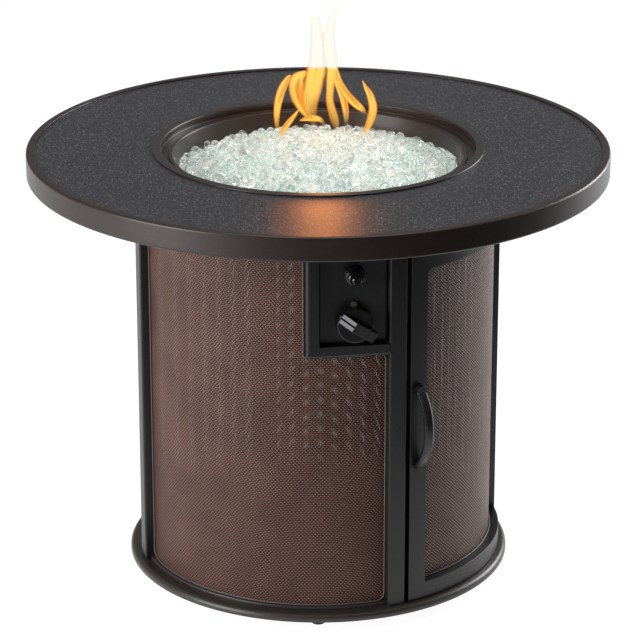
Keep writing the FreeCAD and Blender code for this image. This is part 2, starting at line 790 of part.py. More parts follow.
plate_pieces = []
for name, inset, front, back in (
        ("Border", "0", BORDER_FRONT, f"({BORDER_FRONT} - plate_thick)"),
        ("Field", "plate_border", "plate_front", f"({BORDER_FRONT} - plate_thick)"),
        ("Hollow", "(plate_border + plate_thick)", PLATE_BACK, f"({BORDER_FRONT} - 2 * plate_thick)")):
    piece = new_body("Plate" + name, FreeCAD.Placement(
        FreeCAD.Vector(0, 0, value(f"bay_foot + bay_rail + {inset}")), turned("control_angle")))
    pad(piece, [plate_outline(inset, front, back)], f"post_top - bay_foot - bay_rail - 2 * {inset}")
    plate_pieces.append(piece)
plate_blank = cut("PlateBlank", combine("Part::MultiFuse", "PlateFolded", plate_pieces[:2]),
                  plate_pieces[2])
plate_holes = []
for index, (level, radius) in enumerate((
        ("knob_level", "stem_radius + 3"),
        ("igniter_level", "igniter_thread + seam_gap"),
        ("upper_screw_level", "screw_radius"),
        ("lower_screw_level", "screw_radius"))):
    where = bay_point("control_across", level, f"{PLATE_BACK} - 1")
    plate_holes.append(cylinder(f"PlateHole{index}", radius, "plate_thick + 2", where,
                                facing("control_angle")))
keep(bay, cut("control_plate", plate_blank, combine("Part::Compound", "PlateHoles", plate_holes)))

# Gas valve behind the plate, held by two screws, with its inlet below and outlet above
face = facing("control_angle")
VALVE_TOP = "(valve_foot + valve_height)"
valve_body = new_body("ValveBlank", FreeCAD.Placement(
    bay_point("control_across", "0", "valve_front - valve_depth"), face))
pad(valve_body, [rectangle("-valve_width / 2", "valve_width / 2", "valve_foot", VALVE_TOP)],
    "valve_depth")
outlet_block = new_body("ValveOutlet", FreeCAD.Placement(
    bay_point("control_across", "0", "valve_front - valve_depth + 3"), face))
pad(outlet_block, [rectangle("outlet_across - 9.5", "0", f"{VALVE_TOP} - 16", VALVE_TOP)],
    "valve_depth - 6")
lugs = []
LUG_BACK = "(valve_front - lug_depth)"
for index, (level, foot) in enumerate((("upper_screw_level", "-lug_width"),
                                       ("lower_screw_level", "-lug_width / 2"))):
    lug = new_body(f"ValveLug{index}", FreeCAD.Placement(
        bay_point("control_across", level, LUG_BACK), face))
    pad(lug, [rectangle("-lug_width / 2", "lug_width / 2", foot, "lug_width / 2")],
        f"{PLATE_BACK} - {LUG_BACK}", circles=[("0", "0", "screw_radius")])
    lugs.append(lug)
stem_bore = cylinder("StemBore", "stem_radius + running_gap", "valve_depth - 6",
                     bay_point("control_across", "knob_level", "valve_front - valve_depth + 7"),
                     face)
valve_solid = combine("Part::MultiFuse", "ValveSolid", [valve_body, outlet_block] + lugs)
valve = cut("gas_valve", valve_solid, stem_bore)
screws = []
for index, level in enumerate(("upper_screw_level", "lower_screw_level")):
    head = cylinder(f"ValveScrewHead{index}", "screw_head", "screw_head_height",
                    bay_point("control_across", level, "plate_front"), face)
    shank = cylinder(f"ValveScrewShank{index}", "screw_radius", f"plate_front - {LUG_BACK}",
                     bay_point("control_across", level, LUG_BACK), face)
    slot = doc.addObject("Part::Box", f"ValveScrewSlot{index}")
    slot.setExpression("Length", cells("2 * screw_head + 1"))
    slot.setExpression("Width", cells("screw_slot"))
    slot.setExpression("Height", cells("screw_head_height"))
    slot.Placement = FreeCAD.Placement(
        bay_point("control_across - screw_head - 0.5", f"{level} - screw_slot / 2",
                  "plate_front + screw_head_height - screw_slot"), face)
    solid = combine("Part::MultiFuse", f"ValveScrewSolid{index}", [head, shank])
    screws.append(cut(f"ValveScrew{index}", solid, slot))
OUTLET = "(valve_front - valve_depth / 2)"
inlet_top = bay_point("control_across", "valve_foot", OUTLET)
inlet = revolve("gas_inlet", [
    ("0", "-inlet_shoulder - inlet_length"),
    ("inlet_radius - 1.5", "-inlet_shoulder - inlet_length"),
    ("inlet_radius", "1.5 - inlet_shoulder - inlet_length"),
    ("inlet_radius", "-inlet_shoulder"),
    ("inlet_radius + 3", "-inlet_shoulder"),
    ("inlet_radius + 3", "0"),
    ("0", "0"),
], placement=FreeCAD.Placement(inlet_top, FreeCAD.Rotation()))
keep(valve, combine("Part::Compound", "valve_screws", screws), inlet)

# Gas tube: up from the valve, one bend, and in to the mixer under the middle of the bowl
outlet_top = bay_point("control_across + outlet_across", VALVE_TOP, OUTLET)
tube_angle = math.degrees(math.atan2(outlet_top.x, -outlet_top.y))
tube_reach = math.hypot(outlet_top.x, outlet_top.y)
bend = value("gas_tube_bend")
level = value("gas_tube_level")
corner = math.sqrt(0.5) * bend
run_up = Part.LineSegment(around(tube_angle, tube_reach, outlet_top.z),
                          around(tube_angle, tube_reach, level - bend))
elbow = Part.Arc(around(tube_angle, tube_reach, level - bend),
                 around(tube_angle, tube_reach - bend + corner, level - bend + corner),
                 around(tube_angle, tube_reach - bend, level))
run_in = Part.LineSegment(around(tube_angle, tube_reach - bend, level),
                          around(tube_angle, "mixer_radius", level))
route = doc.addObject("Part::Feature", "GasTubeRoute")
route.Shape = Part.Wire([run_up.toShape(), elbow.toShape(), run_in.toShape()])
print("gas tube bend radius", bend, "length", round(route.Shape.Length, 1))
tubes = []
for name, radius in (("Outside", "gas_tube_radius"), ("Bore", "gas_tube_radius - gas_tube_wall")):
    section = doc.addObject("Part::Circle", "GasTubeSection" + name)
    section.setExpression("Radius", cells(radius))
    section.Placement = FreeCAD.Placement(outlet_top, FreeCAD.Rotation())
    sweep = doc.addObject("Part::Sweep", "GasTube" + name)
    sweep.Sections = [section]
    sweep.Spine = route
    sweep.Solid = True
    tubes.append(sweep)
doc.recompute()
tube = cut("gas_tube", *tubes)
nuts = []
NUT_BORE = "gas_tube_radius + running_gap"
for name, where, rotation in (
        ("Outlet", outlet_top, FreeCAD.Rotation()),
        ("Mixer", around(tube_angle, "mixer_radius", level), facing(tube_angle))):
    blank = hexagon(f"{name}NutBlank", "tube_nut_radius", "tube_nut_length", where, rotation)
    hole = cylinder(f"{name}NutBore", NUT_BORE, "tube_nut_length", where, rotation)
    nuts.append(cut(f"{name}Nut", blank, hole))
keep(tube, combine("Part::Compound", "tube_nuts", nuts))

# Piezo igniter: a threaded body through the plate, a ring nut behind and a push button
igniter_foot = bay_point("control_across", "igniter_level", "plate_front")
standing = FreeCAD.Placement(igniter_foot, face)
NECK = "(igniter_front - plate_front)"
keep(revolve("igniter_body", [
    ("0", "-igniter_barrel"),
    ("igniter_thread + 1", "-igniter_barrel"),
    ("igniter_thread + 1", "-igniter_step"),
    ("igniter_thread", "-igniter_step"),
    ("igniter_thread", "0"),
    ("igniter_collar", "0"),
    ("igniter_collar", "3"),
    ("igniter_collar - 1.5", "6.5"),
    ("igniter_neck", "7.5"),
    ("igniter_neck", f"{NECK} - 1.2"),
    ("igniter_neck - 1.2", NECK),
    ("igniter_bore", NECK),
    ("igniter_bore", "2"),
    ("0", "2"),
], placement=standing))
keep(revolve("igniter_ring_nut", rectangle(
    "igniter_thread + running_gap", "igniter_thread + ring_nut_wall",
    "-plate_thick - ring_nut_height", "-plate_thick"),
    placement=standing))
button = revolve("igniter_button", [
    ("0", "7"),
    ("button_radius", "7"),
    ("button_radius", "button_front - plate_front - 1.5"),
    ("button_radius - 1.5", "button_front - plate_front"),
    ("0", "button_front - plate_front"),
], placement=standing)
keep(button)

# Control knob on the valve's stem: the stem turns and pushes in against a sprung collar
stem = cylinder("valve_stem", "stem_radius",
                "knob_back + knob_bore_depth - valve_front + stem_sunk",
                bay_point("control_across", "knob_level", "valve_front - stem_sunk"), face)
collar_foot = bay_point("control_across", "knob_level", "valve_front + collar_gap")
collar = revolve("stem_collar", rectangle(
    "stem_radius + running_gap", "stem_radius + collar_wall", "0", "collar_height"),
    placement=FreeCAD.Placement(collar_foot, face))
knob_turn = face * FreeCAD.Rotation(FreeCAD.Vector(0, 0, 1), value("knob_rest_turn"))
knob_foot = bay_point("control_across", "knob_level", "knob_back")
knob = new_body("control_knob", FreeCAD.Placement(knob_foot, knob_turn))
pad(knob, [], "knob_skirt", circles=[("0", "0", "knob_radius")])
round_edges(knob, 2, on_circle("knob_radius", "knob_skirt"))
grip_sketch = new_sketch(knob, "YZ_Plane")
draw_outline(grip_sketch, [
    ("knob_grip_left", "knob_skirt - 4"),
    ("knob_grip_left", "grip_nose"),
    ("grip_peak", "knob_depth"),
    ("-knob_grip_right", "grip_tail"),
    ("-knob_grip_right", "knob_skirt - 4"),
])
grip = knob.newObject("PartDesign::Pad", "KnobGrip")
grip.Profile = grip_sketch
grip.Midplane = True
grip.setExpression("Length", cells("knob_grip_width"))
doc.recompute()


def along_grip(edge):
    """A test for the four long edges of the grip's top."""
    ends = [edge.valueAt(edge.FirstParameter), edge.valueAt(edge.LastParameter)]
    return (abs(ends[0].y - ends[1].y) > 10
            and all(p.z > value("knob_skirt + 1") for p in ends))


round_edges(knob, "grip_round", along_grip)
solid_volume = knob.Shape.Volume
bore_sketch = new_sketch(knob, "XY_Plane")
draw_circle(bore_sketch, "0", "0", "stem_radius")
bore = knob.newObject("PartDesign::Pocket", "KnobBore")
bore.Profile = bore_sketch
bore.setExpression("Length", cells("knob_bore_depth"))
bore.Reversed = True
doc.recompute()
assert knob.Shape.Volume < solid_volume - 100, "the knob's bore cuts nothing"


def grip_slope(y):
    """The height of the grip's sloping top at a distance along it."""
    fall = f"(knob_grip_left - ({y})) / (knob_grip_left - grip_peak)"
    return f"grip_nose + (knob_depth - grip_nose) * {fall}"


marks = []
for index, left in enumerate(("-mark_gap / 2 - mark_width", "mark_gap / 2")):
    mark = new_body(f"KnobMark{index}", FreeCAD.Placement(knob_foot, knob_turn))
    mark_sketch = new_sketch(mark, "YZ_Plane", left)
    ends = ("knob_grip_left - mark_inset", "grip_peak + mark_inset")
    draw_outline(mark_sketch, [
        (ends[0], grip_slope(ends[0])),
        (ends[1], grip_slope(ends[1])),
        (ends[1], grip_slope(ends[1]) + " + mark_thick"),
        (ends[0], grip_slope(ends[0]) + " + mark_thick"),
    ])
    stripe = mark.newObject("PartDesign::Pad", f"MarkStripe{index}")
    stripe.Profile = mark_sketch
    stripe.setExpression("Length", cells("mark_width"))
    doc.recompute()
    marks.append(mark)
keep(stem, collar, knob, combine("Part::Compound", "knob_marks", marks))

# Door: a folded channel frame with a rounded window, open at its back
def door_blank(label, inset, inner, outer):
    """The door's frame as a solid, drawn in by an inset all round and round its window."""
    inset_turn = f"({inset}) * 57.3 / base_radius"
    body = revolve(label, rectangle(inner, outer, f"door_foot + {inset}", f"door_top - {inset}"),
                   f"door_start + {inset_turn}", f"door_end - {inset_turn}")
    groove(body, rectangle("door_inner - 9", "base_radius + 5",
                           f"window_foot - {inset}", f"window_top + {inset}"),
           f"door_end - door_start - 2 * door_stile + 2 * {inset_turn}")
    round_edges(body, f"window_round + {inset}", window_corner(inset))
    return body


def window_corner(inset):
    """A test for the short radial edges at the two upper corners of the door's window."""
    top = value(f"window_top + {inset}")

    def wanted(edge):
        ends = [edge.valueAt(edge.FirstParameter), edge.valueAt(edge.LastParameter)]
        flat = abs(ends[0].z - ends[1].z) < 0.01
        radial = abs(math.hypot(ends[0].x, ends[0].y) - math.hypot(ends[1].x, ends[1].y)) > 0.5
        return flat and radial and abs(ends[0].z - top) < 0.01
    return wanted


door_shell = cut("DoorShell",
                 door_blank("DoorSolid", "0", "door_inner", "base_radius"),
                 door_blank("DoorHollow", "frame_sheet", "door_inner - 4",
                            "base_radius - frame_sheet"))
door_holes = [
    cylinder("DoorPivotHole", "pivot_radius + running_gap", "door_top - door_foot",
             around("hinge_angle", "hinge_radius", "door_foot")),
]
HANDLE_MOUNTS = ["handle_level - handle_spread / 2", "handle_level + handle_spread / 2"]
out = facing("handle_angle")
for index, level in enumerate(HANDLE_MOUNTS):
    door_holes.append(cylinder(f"DoorScrewHole{index}", "screw_radius", 6,
                               around("handle_angle", "base_radius - 4", level), out))
keep(cut("door_frame", door_shell, combine("Part::Compound", "DoorHoles", door_holes)))
door_mesh = revolve("door_mesh", rectangle(
    "mesh_outer - mesh_sheet", "mesh_outer", "window_foot", "window_top"),
    "door_start + door_stile", "door_end - door_stile")
round_edges(door_mesh, "window_round", window_corner("0"))
keep(door_mesh)
header = revolve("door_header", [
    ("base_radius - frame_depth", "header_foot"),
    ("base_radius", "header_foot"),
    ("base_radius", "post_top"),
    ("base_radius - frame_sheet", "post_top"),
    ("base_radius - frame_sheet", "header_foot + frame_sheet"),
    ("base_radius - frame_depth", "header_foot + frame_sheet"),
], f"post_center + {HALF_POST}", f"post_right - {HALF_POST}")
HEADER_MIDDLE = "(post_center + post_right) / 2"
drill(header, [(f"hinge_radius * cos(hinge_angle - {HEADER_MIDDLE})",
                f"hinge_radius * sin(hinge_angle - {HEADER_MIDDLE})", "pivot_radius")])
pins = [
    cylinder("LowerPin", "pivot_radius", 18, around("hinge_angle", "hinge_radius", "ring_top - 6")),
    cylinder("UpperPin", "pivot_radius", 18, around("hinge_angle", "hinge_radius", "header_foot - 8")),
]
keep(header, combine("Part::Compound", "door_pivot_pins", pins))

# Bowed pull handle on the door's free stile, held by two screws from inside the door
handle_frame = FreeCAD.Placement(around("handle_angle", "base_radius", "handle_level"),
                                 turned("handle_angle - 90"))
BOW_CENTRE = "(handle_reach - handle_thick / 2 - handle_bow)"
bow = new_body("HandleBow", handle_frame)
bow_sketch = new_sketch(bow, "XY_Plane")
REACH_IN = "handle_reach - handle_thick"
HALF_GRIP_BAR = "handle_width / 2"
draw_outline(bow_sketch, [
    (REACH_IN, f"-{HALF_GRIP_BAR} * 0.6"),
    (f"{REACH_IN} + handle_thick * 0.3", f"-{HALF_GRIP_BAR}"),
    ("handle_reach - handle_thick * 0.3", f"-{HALF_GRIP_BAR}"),
    ("handle_reach", f"-{HALF_GRIP_BAR} * 0.6"),
    ("handle_reach", f"{HALF_GRIP_BAR} * 0.6"),
    ("handle_reach - handle_thick * 0.3", HALF_GRIP_BAR),
    (f"{REACH_IN} + handle_thick * 0.3", HALF_GRIP_BAR),
    (REACH_IN, f"{HALF_GRIP_BAR} * 0.6"),
])
axis_line = Part.LineSegment(FreeCAD.Vector(value(BOW_CENTRE), -20, 0),
                             FreeCAD.Vector(value(BOW_CENTRE), 20, 0))
axis_index = bow_sketch.addGeometry(axis_line, True)
bow_sketch.addConstraint(Sketcher.Constraint("Vertical", axis_index))
pin_point(bow_sketch, axis_index, 1, (BOW_CENTRE, "-20"))
bow_turn = bow.newObject("PartDesign::Revolution", "HandleBowTurn")
bow_turn.Profile = bow_sketch
bow_turn.ReferenceAxis = (bow_sketch, ["Axis0"])
bow_turn.Midplane = True
bow_turn.setExpression("Angle", cells("2 * 0.93 * asin(handle_spread / 2 / handle_bow)"))
doc.recompute()
handle_pieces = [bow]
handle_holes = []
handle_screws = []
for index, level in enumerate(HANDLE_MOUNTS):
    handle_pieces.append(cylinder(f"HandleBoss{index}", "handle_width / 2", "handle_boss_height",
                                  around("handle_angle", "base_radius", level), out))
    shank_foot = around("handle_angle", "base_radius - frame_sheet - seam_gap", level)
    handle_holes.append(cylinder(f"HandleHole{index}", "screw_radius", "handle_screw_length + 1",
                                 shank_foot, out))
    head_foot = around("handle_angle", "base_radius - frame_sheet - seam_gap"
                       " - handle_screw_head_height", level)
    head = cylinder(f"HandleScrewHead{index}", "handle_screw_head", "handle_screw_head_height",
                    head_foot, out)
    shank = cylinder(f"HandleScrewShank{index}", "screw_radius", "handle_screw_length",
                     shank_foot, out)
    handle_screws.append(combine("Part::MultiFuse", f"HandleScrew{index}", [head, shank]))
handle_solid = combine("Part::MultiFuse", "HandleSolid", handle_pieces)
inside_door = revolve("InsideDoor", rectangle(
    "base_radius - 30", "base_radius", "handle_level - 90", "handle_level + 90"),
    "handle_angle - 6", "handle_angle + 6")
handle_trim = cut("HandleTrim", handle_solid, inside_door)
keep(cut("door_handle", handle_trim, combine("Part::Compound", "HandleHoles", handle_holes)))
keep(combine("Part::Compound", "handle_screws", handle_screws))

# Magnetic catch behind the free stile, and its strike plate on the door
keep(revolve("magnet_catch", rectangle(
    "base_radius - frame_depth - 6", "base_radius - frame_depth", "catch_foot", "catch_top"),
    f"post_center - {HALF_POST} + 1", "door_start + door_stile - 0.6"))
keep(revolve("strike_plate", rectangle(
    "door_inner - 1.4", "door_inner", "catch_foot + 3", "catch_top - 3"),
             "door_start + 0.2", "door_start + door_stile - 0.2"))

# Levelling feet: a moulded pad on a threaded stud, in a nut under the base ring
foot_nuts = []
for side, angle in FOOT_ANGLES.items():
    where = around(angle, "foot_circle")
    foot = revolve(f"foot_{side}", [
        ("0", "0"),
        ("foot_radius - foot_chamfer", "0"),
        ("foot_radius", "foot_chamfer"),
        ("foot_radius", "foot_height - foot_shoulder"),
        ("foot_radius - foot_shoulder", "foot_height"),
        ("stud_radius", "foot_height"),
        ("stud_radius", "stud_top"),
        ("0", "stud_top"),
    ], placement=FreeCAD.Placement(where, FreeCAD.Rotation()))
    keep(foot)
    nut_foot = around(angle, "foot_circle", "ring_top - ring_sheet - nut_height")
    blank = hexagon(f"FootNutBlank{side}", "foot_nut_radius", "nut_height", nut_foot,
                    turned(angle))
    bore = cylinder(f"FootNutBore{side}", "stud_radius + running_gap", "nut_height", nut_foot)
    foot_nuts.append(cut(f"FootNut{side}", blank, bore))
keep(combine("Part::Compound", "foot_nuts", foot_nuts))

# Every object has to be sound before anything is written
doc.recompute()
for item in doc.Objects:
    assert not {"Invalid", "Error"} & set(item.State), item.Label + " failed"
for node in nodes:
    shape = node.Shape
    assert not shape.isNull() and shape.isValid(), node.Label + " is not a valid solid"
    print(f"{node.Label:20s} solids {len(shape.Solids):2d} volume {shape.Volume / 1000:9.1f} cm3")
    shape.exportStep(f"parts/{node.Label}.step")
print(len(nodes), "nodes")
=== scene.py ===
"""A round gas fire pit table: a powder-coated steel drum with woven mesh panels and a door, a round
top with a charcoal inlay, and a drop-in burner bowl filled with clear fire glass.

The CAD model stands as it is, in metres, with the front of the table towards -Y and the floor at
z = 0. An angle round the drum is measured from the front towards +X. The sections follow the table
as it is put together, from the floor up.
"""

import math

import bmesh
import bpy
import numpy as np
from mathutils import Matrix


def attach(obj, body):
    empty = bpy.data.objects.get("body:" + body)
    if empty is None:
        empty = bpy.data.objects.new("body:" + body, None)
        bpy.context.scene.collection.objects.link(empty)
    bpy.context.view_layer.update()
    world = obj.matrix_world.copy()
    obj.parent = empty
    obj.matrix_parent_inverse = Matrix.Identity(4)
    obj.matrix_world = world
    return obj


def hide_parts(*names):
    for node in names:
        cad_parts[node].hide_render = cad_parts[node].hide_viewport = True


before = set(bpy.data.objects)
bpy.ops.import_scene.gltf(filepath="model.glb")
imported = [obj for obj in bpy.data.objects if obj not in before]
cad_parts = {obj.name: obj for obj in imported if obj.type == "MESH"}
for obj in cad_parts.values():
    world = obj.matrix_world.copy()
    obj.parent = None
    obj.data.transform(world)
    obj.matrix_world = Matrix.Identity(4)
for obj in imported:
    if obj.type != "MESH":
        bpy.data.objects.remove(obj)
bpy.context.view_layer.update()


# ---- The photograph's camera ----
# A long lens about four metres from the table and 1.9 m above the floor, which looks down on it.
# It stands square to the table's front, with no shift and everything in focus.

camera_height = 1.8584
camera_distance = 4.0668
camera_pitch = 20.208
camera_data = bpy.data.cameras.new("photo_camera")
camera_data.lens = 171.26
camera_data.sensor_width = 36
camera = bpy.data.objects.new("photo_camera", camera_data)
camera.location = (0.0024, -camera_distance, camera_height)
camera.rotation_euler = (math.radians(90 - camera_pitch), 0, 0)
bpy.context.scene.collection.objects.link(camera)
bpy.context.scene.camera = camera
bpy.context.scene.view_settings.view_transform = "Standard"


# ---- The studio: floor, room and lamps ----
# A white floor under a soft overhead lamp, a large soft box at the left in front of the table and
# a smaller one at the right behind it. Whatever is behind the camera is dark, and seen directly
# both the floor and the room are white.


def node(tree, kind, inputs=None, **settings):
    """Adds a shader node with these settings. inputs gives its sockets, by name or number, a number
    each or the output that feeds them."""
    made = tree.nodes.new("ShaderNode" + kind)
    for setting, value in settings.items():
        setattr(made, setting, value)
    for socket, value in (inputs or {}).items():
        if isinstance(value, bpy.types.NodeSocket):
            tree.links.new(value, made.inputs[socket])
        else:
            made.inputs[socket].default_value = value
    return made


def work(tree, operation, *terms, clamp=False):
    """One Math node on numbers or outputs. Gives its output."""
    return node(
        tree, "Math", dict(enumerate(terms)), operation=operation, use_clamp=clamp
    ).outputs[0]


def ramp(tree, value, start, end, low=0.0, high=1.0):
    """A smooth step from low to high while value goes from start to end. Gives its output."""
    return node(
        tree,
        "MapRange",
        {"Value": value, "From Min": start, "From Max": end, "To Min": low, "To Max": high},
        interpolation_type="SMOOTHSTEP",
    ).outputs[0]


def new_finish(name):
    """A new material. Gives the material, its node tree and its Principled shader."""
    material = bpy.data.materials.new(name)
    material.use_nodes = True
    return material, material.node_tree, material.node_tree.nodes["Principled BSDF"]


def mix(tree, part, first, second):
    """Goes from the first colour to the second with part. Each is three numbers or an output. Gives
    its output."""
    ends = (c if isinstance(c, bpy.types.NodeSocket) else (*c, 1) for c in (first, second))
    return node(tree, "MixRGB", dict(enumerate((part, *ends)))).outputs[0]


def object_place(tree):
    """The place on the piece, which is its place on the table in metres."""
    return node(tree, "TexCoord").outputs["Object"]


def new_piece(name, points, faces, material, uv=None):
    """A smooth mesh object from an array of points (n, 3) and a list of faces, or an array of faces
    with as many corners each. uv, where it is given, holds one pair for each point."""
    mesh = bpy.data.meshes.new(name)
    mesh.from_pydata(points.tolist(), [], faces if isinstance(faces, list) else faces.tolist())
    if uv is not None:
        corners = np.empty(len(mesh.loops), dtype=np.int32)
        mesh.loops.foreach_get("vertex_index", corners)
        layer = mesh.uv_layers.new(name="surface")
        layer.data.foreach_set("uv", uv[corners].astype(np.float32).ravel())
    mesh.polygons.foreach_set("use_smooth", np.full(len(mesh.polygons), True))
    mesh.materials.append(material)
    mesh.update()
    piece = bpy.data.objects.new(name, mesh)
    bpy.context.scene.collection.objects.link(piece)
    return piece


# What the floor gives back is painted dim in front of the line y - floor_lean * x =
# floor_dark_from, a painted shade for lamps and reflections, and painted black under the drum, a
# painted shadow.
# Seen through the mesh it is painted darker, a painted shade: it loses all of it inside
# mesh_shade_from, and the share mesh_shade from mesh_shade_to out to mesh_reach. All are metres
# from the table's axis.
floor_half = 12.0
floor_glow, floor_white = 0.80, 1.19
floor_shadow_black, floor_pale = (0.02, 0.02, 0.02), (0.86, 0.86, 0.86)
floor_lean = 0.8
floor_dark_from, floor_dark_to, floor_dimmed = -0.2, -1.9, 0.03
drum_shade_from, drum_shade_to = 0.230, 0.205
mesh_shade, mesh_reach = 0.55, 2.4
mesh_shade_from, mesh_shade_to = 0.30, 0.45

floor_material, tree, shader = new_finish("studio_floor")
shader.inputs["Roughness"].default_value = 0.9
shader.inputs["Specular IOR Level"].default_value = 0.0
ray = node(tree, "LightPath").outputs
place = object_place(tree)
where = node(tree, "SeparateXYZ", {0: place}).outputs
lean = work(tree, "SUBTRACT", where["Y"], work(tree, "MULTIPLY", where["X"], floor_lean))
# Painted shade: the floor's colour and glow dim in front of the line.
lit_part = ramp(tree, lean, floor_dark_to, floor_dark_from, floor_dimmed, 1.0)
direct = work(tree, "MAXIMUM", ray["Is Camera Ray"], ray["Is Transmission Ray"])
white = work(tree, "MAXIMUM", direct, lit_part)
reflected = work(tree, "MULTIPLY", ray["Is Glossy Ray"], lit_part)
reach = node(tree, "VectorMath", {0: place}, operation="LENGTH").outputs["Value"]
# Painted shade: the floor seen through the mesh is darkened.
through_mesh = work(tree, "GREATER_THAN", ray["Transparent Depth"], 0.5)
screened = work(tree, "MULTIPLY", through_mesh, work(tree, "LESS_THAN", reach, mesh_reach))
screen = ramp(tree, reach, mesh_shade_to, mesh_shade_from, mesh_shade, 1.0)
screened = work(tree, "SUBTRACT", 1.0, work(tree, "MULTIPLY", screened, screen))
# Painted shadow: the floor turns black under the drum, inside drum_shade_to.
unshaded_part = ramp(tree, reach, drum_shade_to, drum_shade_from)
unshaded_part = work(tree, "MULTIPLY", unshaded_part, screened)
paint = mix(tree, work(tree, "MULTIPLY", white, unshaded_part), floor_shadow_black, floor_pale)
tree.links.new(paint, shader.inputs["Base Color"])
seen = work(tree, "MULTIPLY", work(tree, "MAXIMUM", direct, reflected), unshaded_part)
glow = node(tree, "Emission", {"Color": (1, 1, 1, 1), "Strength": floor_white})
surface = node(
    tree,
    "MixShader",
    {0: work(tree, "MULTIPLY", seen, floor_glow), 1: shader.outputs[0], 2: glow.outputs[0]},
)
tree.links.new(surface.outputs[0], tree.nodes["Material Output"].inputs["Surface"])
corners = np.array([[-1, -1, 0], [1, -1, 0], [1, 1, 0], [-1, 1, 0]]) * floor_half
floor = new_piece("floor", corners, np.array([[0, 1, 2, 3]]), floor_material)

# Lamps and reflections see the room from room_dark to room_side, with the direction's part along Y.
room_dark, room_side = 0.05, 0.24
room_dark_below, room_side_above = -0.75, -0.1
world = bpy.data.worlds.new("studio_room")
world.use_nodes = True
bpy.context.scene.world = world
tree = world.node_tree
ray = node(tree, "LightPath").outputs
seen = work(tree, "MAXIMUM", ray["Is Camera Ray"], ray["Is Transmission Ray"])
away = node(tree, "SeparateXYZ", {0: node(tree, "TexCoord").outputs["Generated"]}).outputs["Y"]
dusk = ramp(tree, away, room_dark_below, room_side_above, room_dark, room_side)
strength = work(tree, "MAXIMUM", seen, dusk)
background = tree.nodes["Background"]
background.inputs["Color"].default_value = (1, 1, 1, 1)
tree.links.new(strength, background.inputs["Strength"])


def soft_box(name, place, aim, width, height, power):
    """A rectangular lamp that faces the point aim, power in watts. It doesn't show in the picture
    itself."""
    lamp = bpy.data.lights.new(name, "AREA")
    lamp.shape = "RECTANGLE"
    lamp.size, lamp.size_y, lamp.energy = width, height, power
    made = bpy.data.objects.new(name, lamp)
    made.location = place
    away = np.array(aim) - np.array(place)
    tilt = math.atan2(math.hypot(away[0], away[1]), -away[2])
    made.rotation_euler = (tilt, 0, math.atan2(-away[0], away[1]))
    made.visible_camera = False
    bpy.context.scene.collection.objects.link(made)


soft_box("box_left", (-2.6, -1.7, 1.0), aim=(0, 0, 0.45), width=1.6, height=1.9, power=85)
soft_box("box_back", (2.2, 1.5, 1.2), aim=(0, 0, 0.5), width=1.5, height=1.4, power=70)
soft_box("overhead", (0, -0.2, 3.5), aim=(0, 0, 0.5), width=2.4, height=2.4, power=46)


# ---- Feet ----
# Four black moulded pads on zinc-plated studs, which screw up into nuts welded to the base ring.
# Their two kinds of finish also serve the plastic and the bare metal of the sections below.


def noise(tree, place, grain, detail, distortion=0.0):
    """A cloudy noise from 0 to 1, with grain spots in a metre. Gives its output."""
    inputs = {"Vector": place, "Scale": grain, "Detail": detail, "Distortion": distortion}
    return node(tree, "TexNoise", inputs).outputs[0]


def relief(tree, shader, height, depth, strength, edge=None, invert=False):
    """Gives the shader a relief by the output height, depth in metres. edge is the radius that
    sharp edges are rounded with, in metres."""
    inputs = {"Height": height, "Distance": depth, "Strength": strength}
    if edge is not None:
        inputs["Normal"] = node(tree, "Bevel", {"Radius": edge}, samples=4).outputs[0]
    bump = node(tree, "Bump", inputs, invert=invert)
    tree.links.new(bump.outputs[0], shader.inputs["Normal"])


def moulded_rubber(name, colour, roughness, grain):
    """Rubber or plastic with the fine grain of its mould, in spots per metre. Clouds take the
    colour from 0.75 to 1.3 of itself, and the grain takes the roughness a little down and up."""
    material, tree, shader = new_finish(name)
    place = object_place(tree)
    speck = noise(tree, place, grain, detail=3.0)
    cloud = noise(tree, place, 45.0, detail=2.0)
    tone = mix(tree, cloud, [c * 0.75 for c in colour], [c * 1.3 for c in colour])
    tree.links.new(tone, shader.inputs["Base Color"])
    rough = ramp(tree, speck, 0.3, 0.7, roughness - 0.06, roughness + 0.08)
    tree.links.new(rough, shader.inputs["Roughness"])
    relief(tree, shader, speck, depth=0.0002, strength=0.35, edge=0.0007)
    return material


def plated_metal(name, colour, roughness, brush):
    """Bare or plated metal with fine brushed streaks along Z, brush in streaks per metre. Stains
    take the colour down to 0.7 of itself."""
    material, tree, shader = new_finish(name)
    place = object_place(tree)
    stretched = node(tree, "Mapping", {"Vector": place, "Scale": (1.0, 1.0, 0.06)}).outputs[0]
    streak = noise(tree, stretched, brush, detail=3.0)
    stain = noise(tree, place, 60.0, detail=3.0)
    tone = mix(tree, stain, [c * 0.7 for c in colour], colour)
    tree.links.new(tone, shader.inputs["Base Color"])
    shader.inputs["Metallic"].default_value = 1.0
    rough = ramp(tree, streak, 0.25, 0.75, roughness - 0.08, roughness + 0.1)
    tree.links.new(rough, shader.inputs["Roughness"])
    relief(tree, shader, streak, depth=0.0001, strength=0.3)
    return material


def give_finish(material, *names):
    """Puts the material in every slot of the named CAD nodes."""
    for name in names:
        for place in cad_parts[name].material_slots:
            place.material = material


foot_rubber = moulded_rubber("foot_rubber", (0.018, 0.018, 0.018), roughness=0.62, grain=900.0)
zinc = plated_metal("zinc_plate", (0.60, 0.61, 0.62), roughness=0.32, brush=900.0)
give_finish(foot_rubber, "foot_front", "foot_right", "foot_back", "foot_left")
give_finish(zinc, "foot_nuts")


# ---- Drum frame ----
# Rolled and welded steel: base ring, floor, posts, rails and the ring that carries the top. All of
# it is dipped in one satin powder coat, nearly black on the uprights and browner on the ring.

# How much clouds and grain change the coat's lightness, and grain its roughness. coat_clouds is in
# clouds per metre, and coat_cells in fleck cells for each spot of the grain.
coat_cloud, coat_grain_tone, coat_grain_rough = 0.4, 0.9, 0.3
coat_clouds, coat_cells = 9.0, 0.6

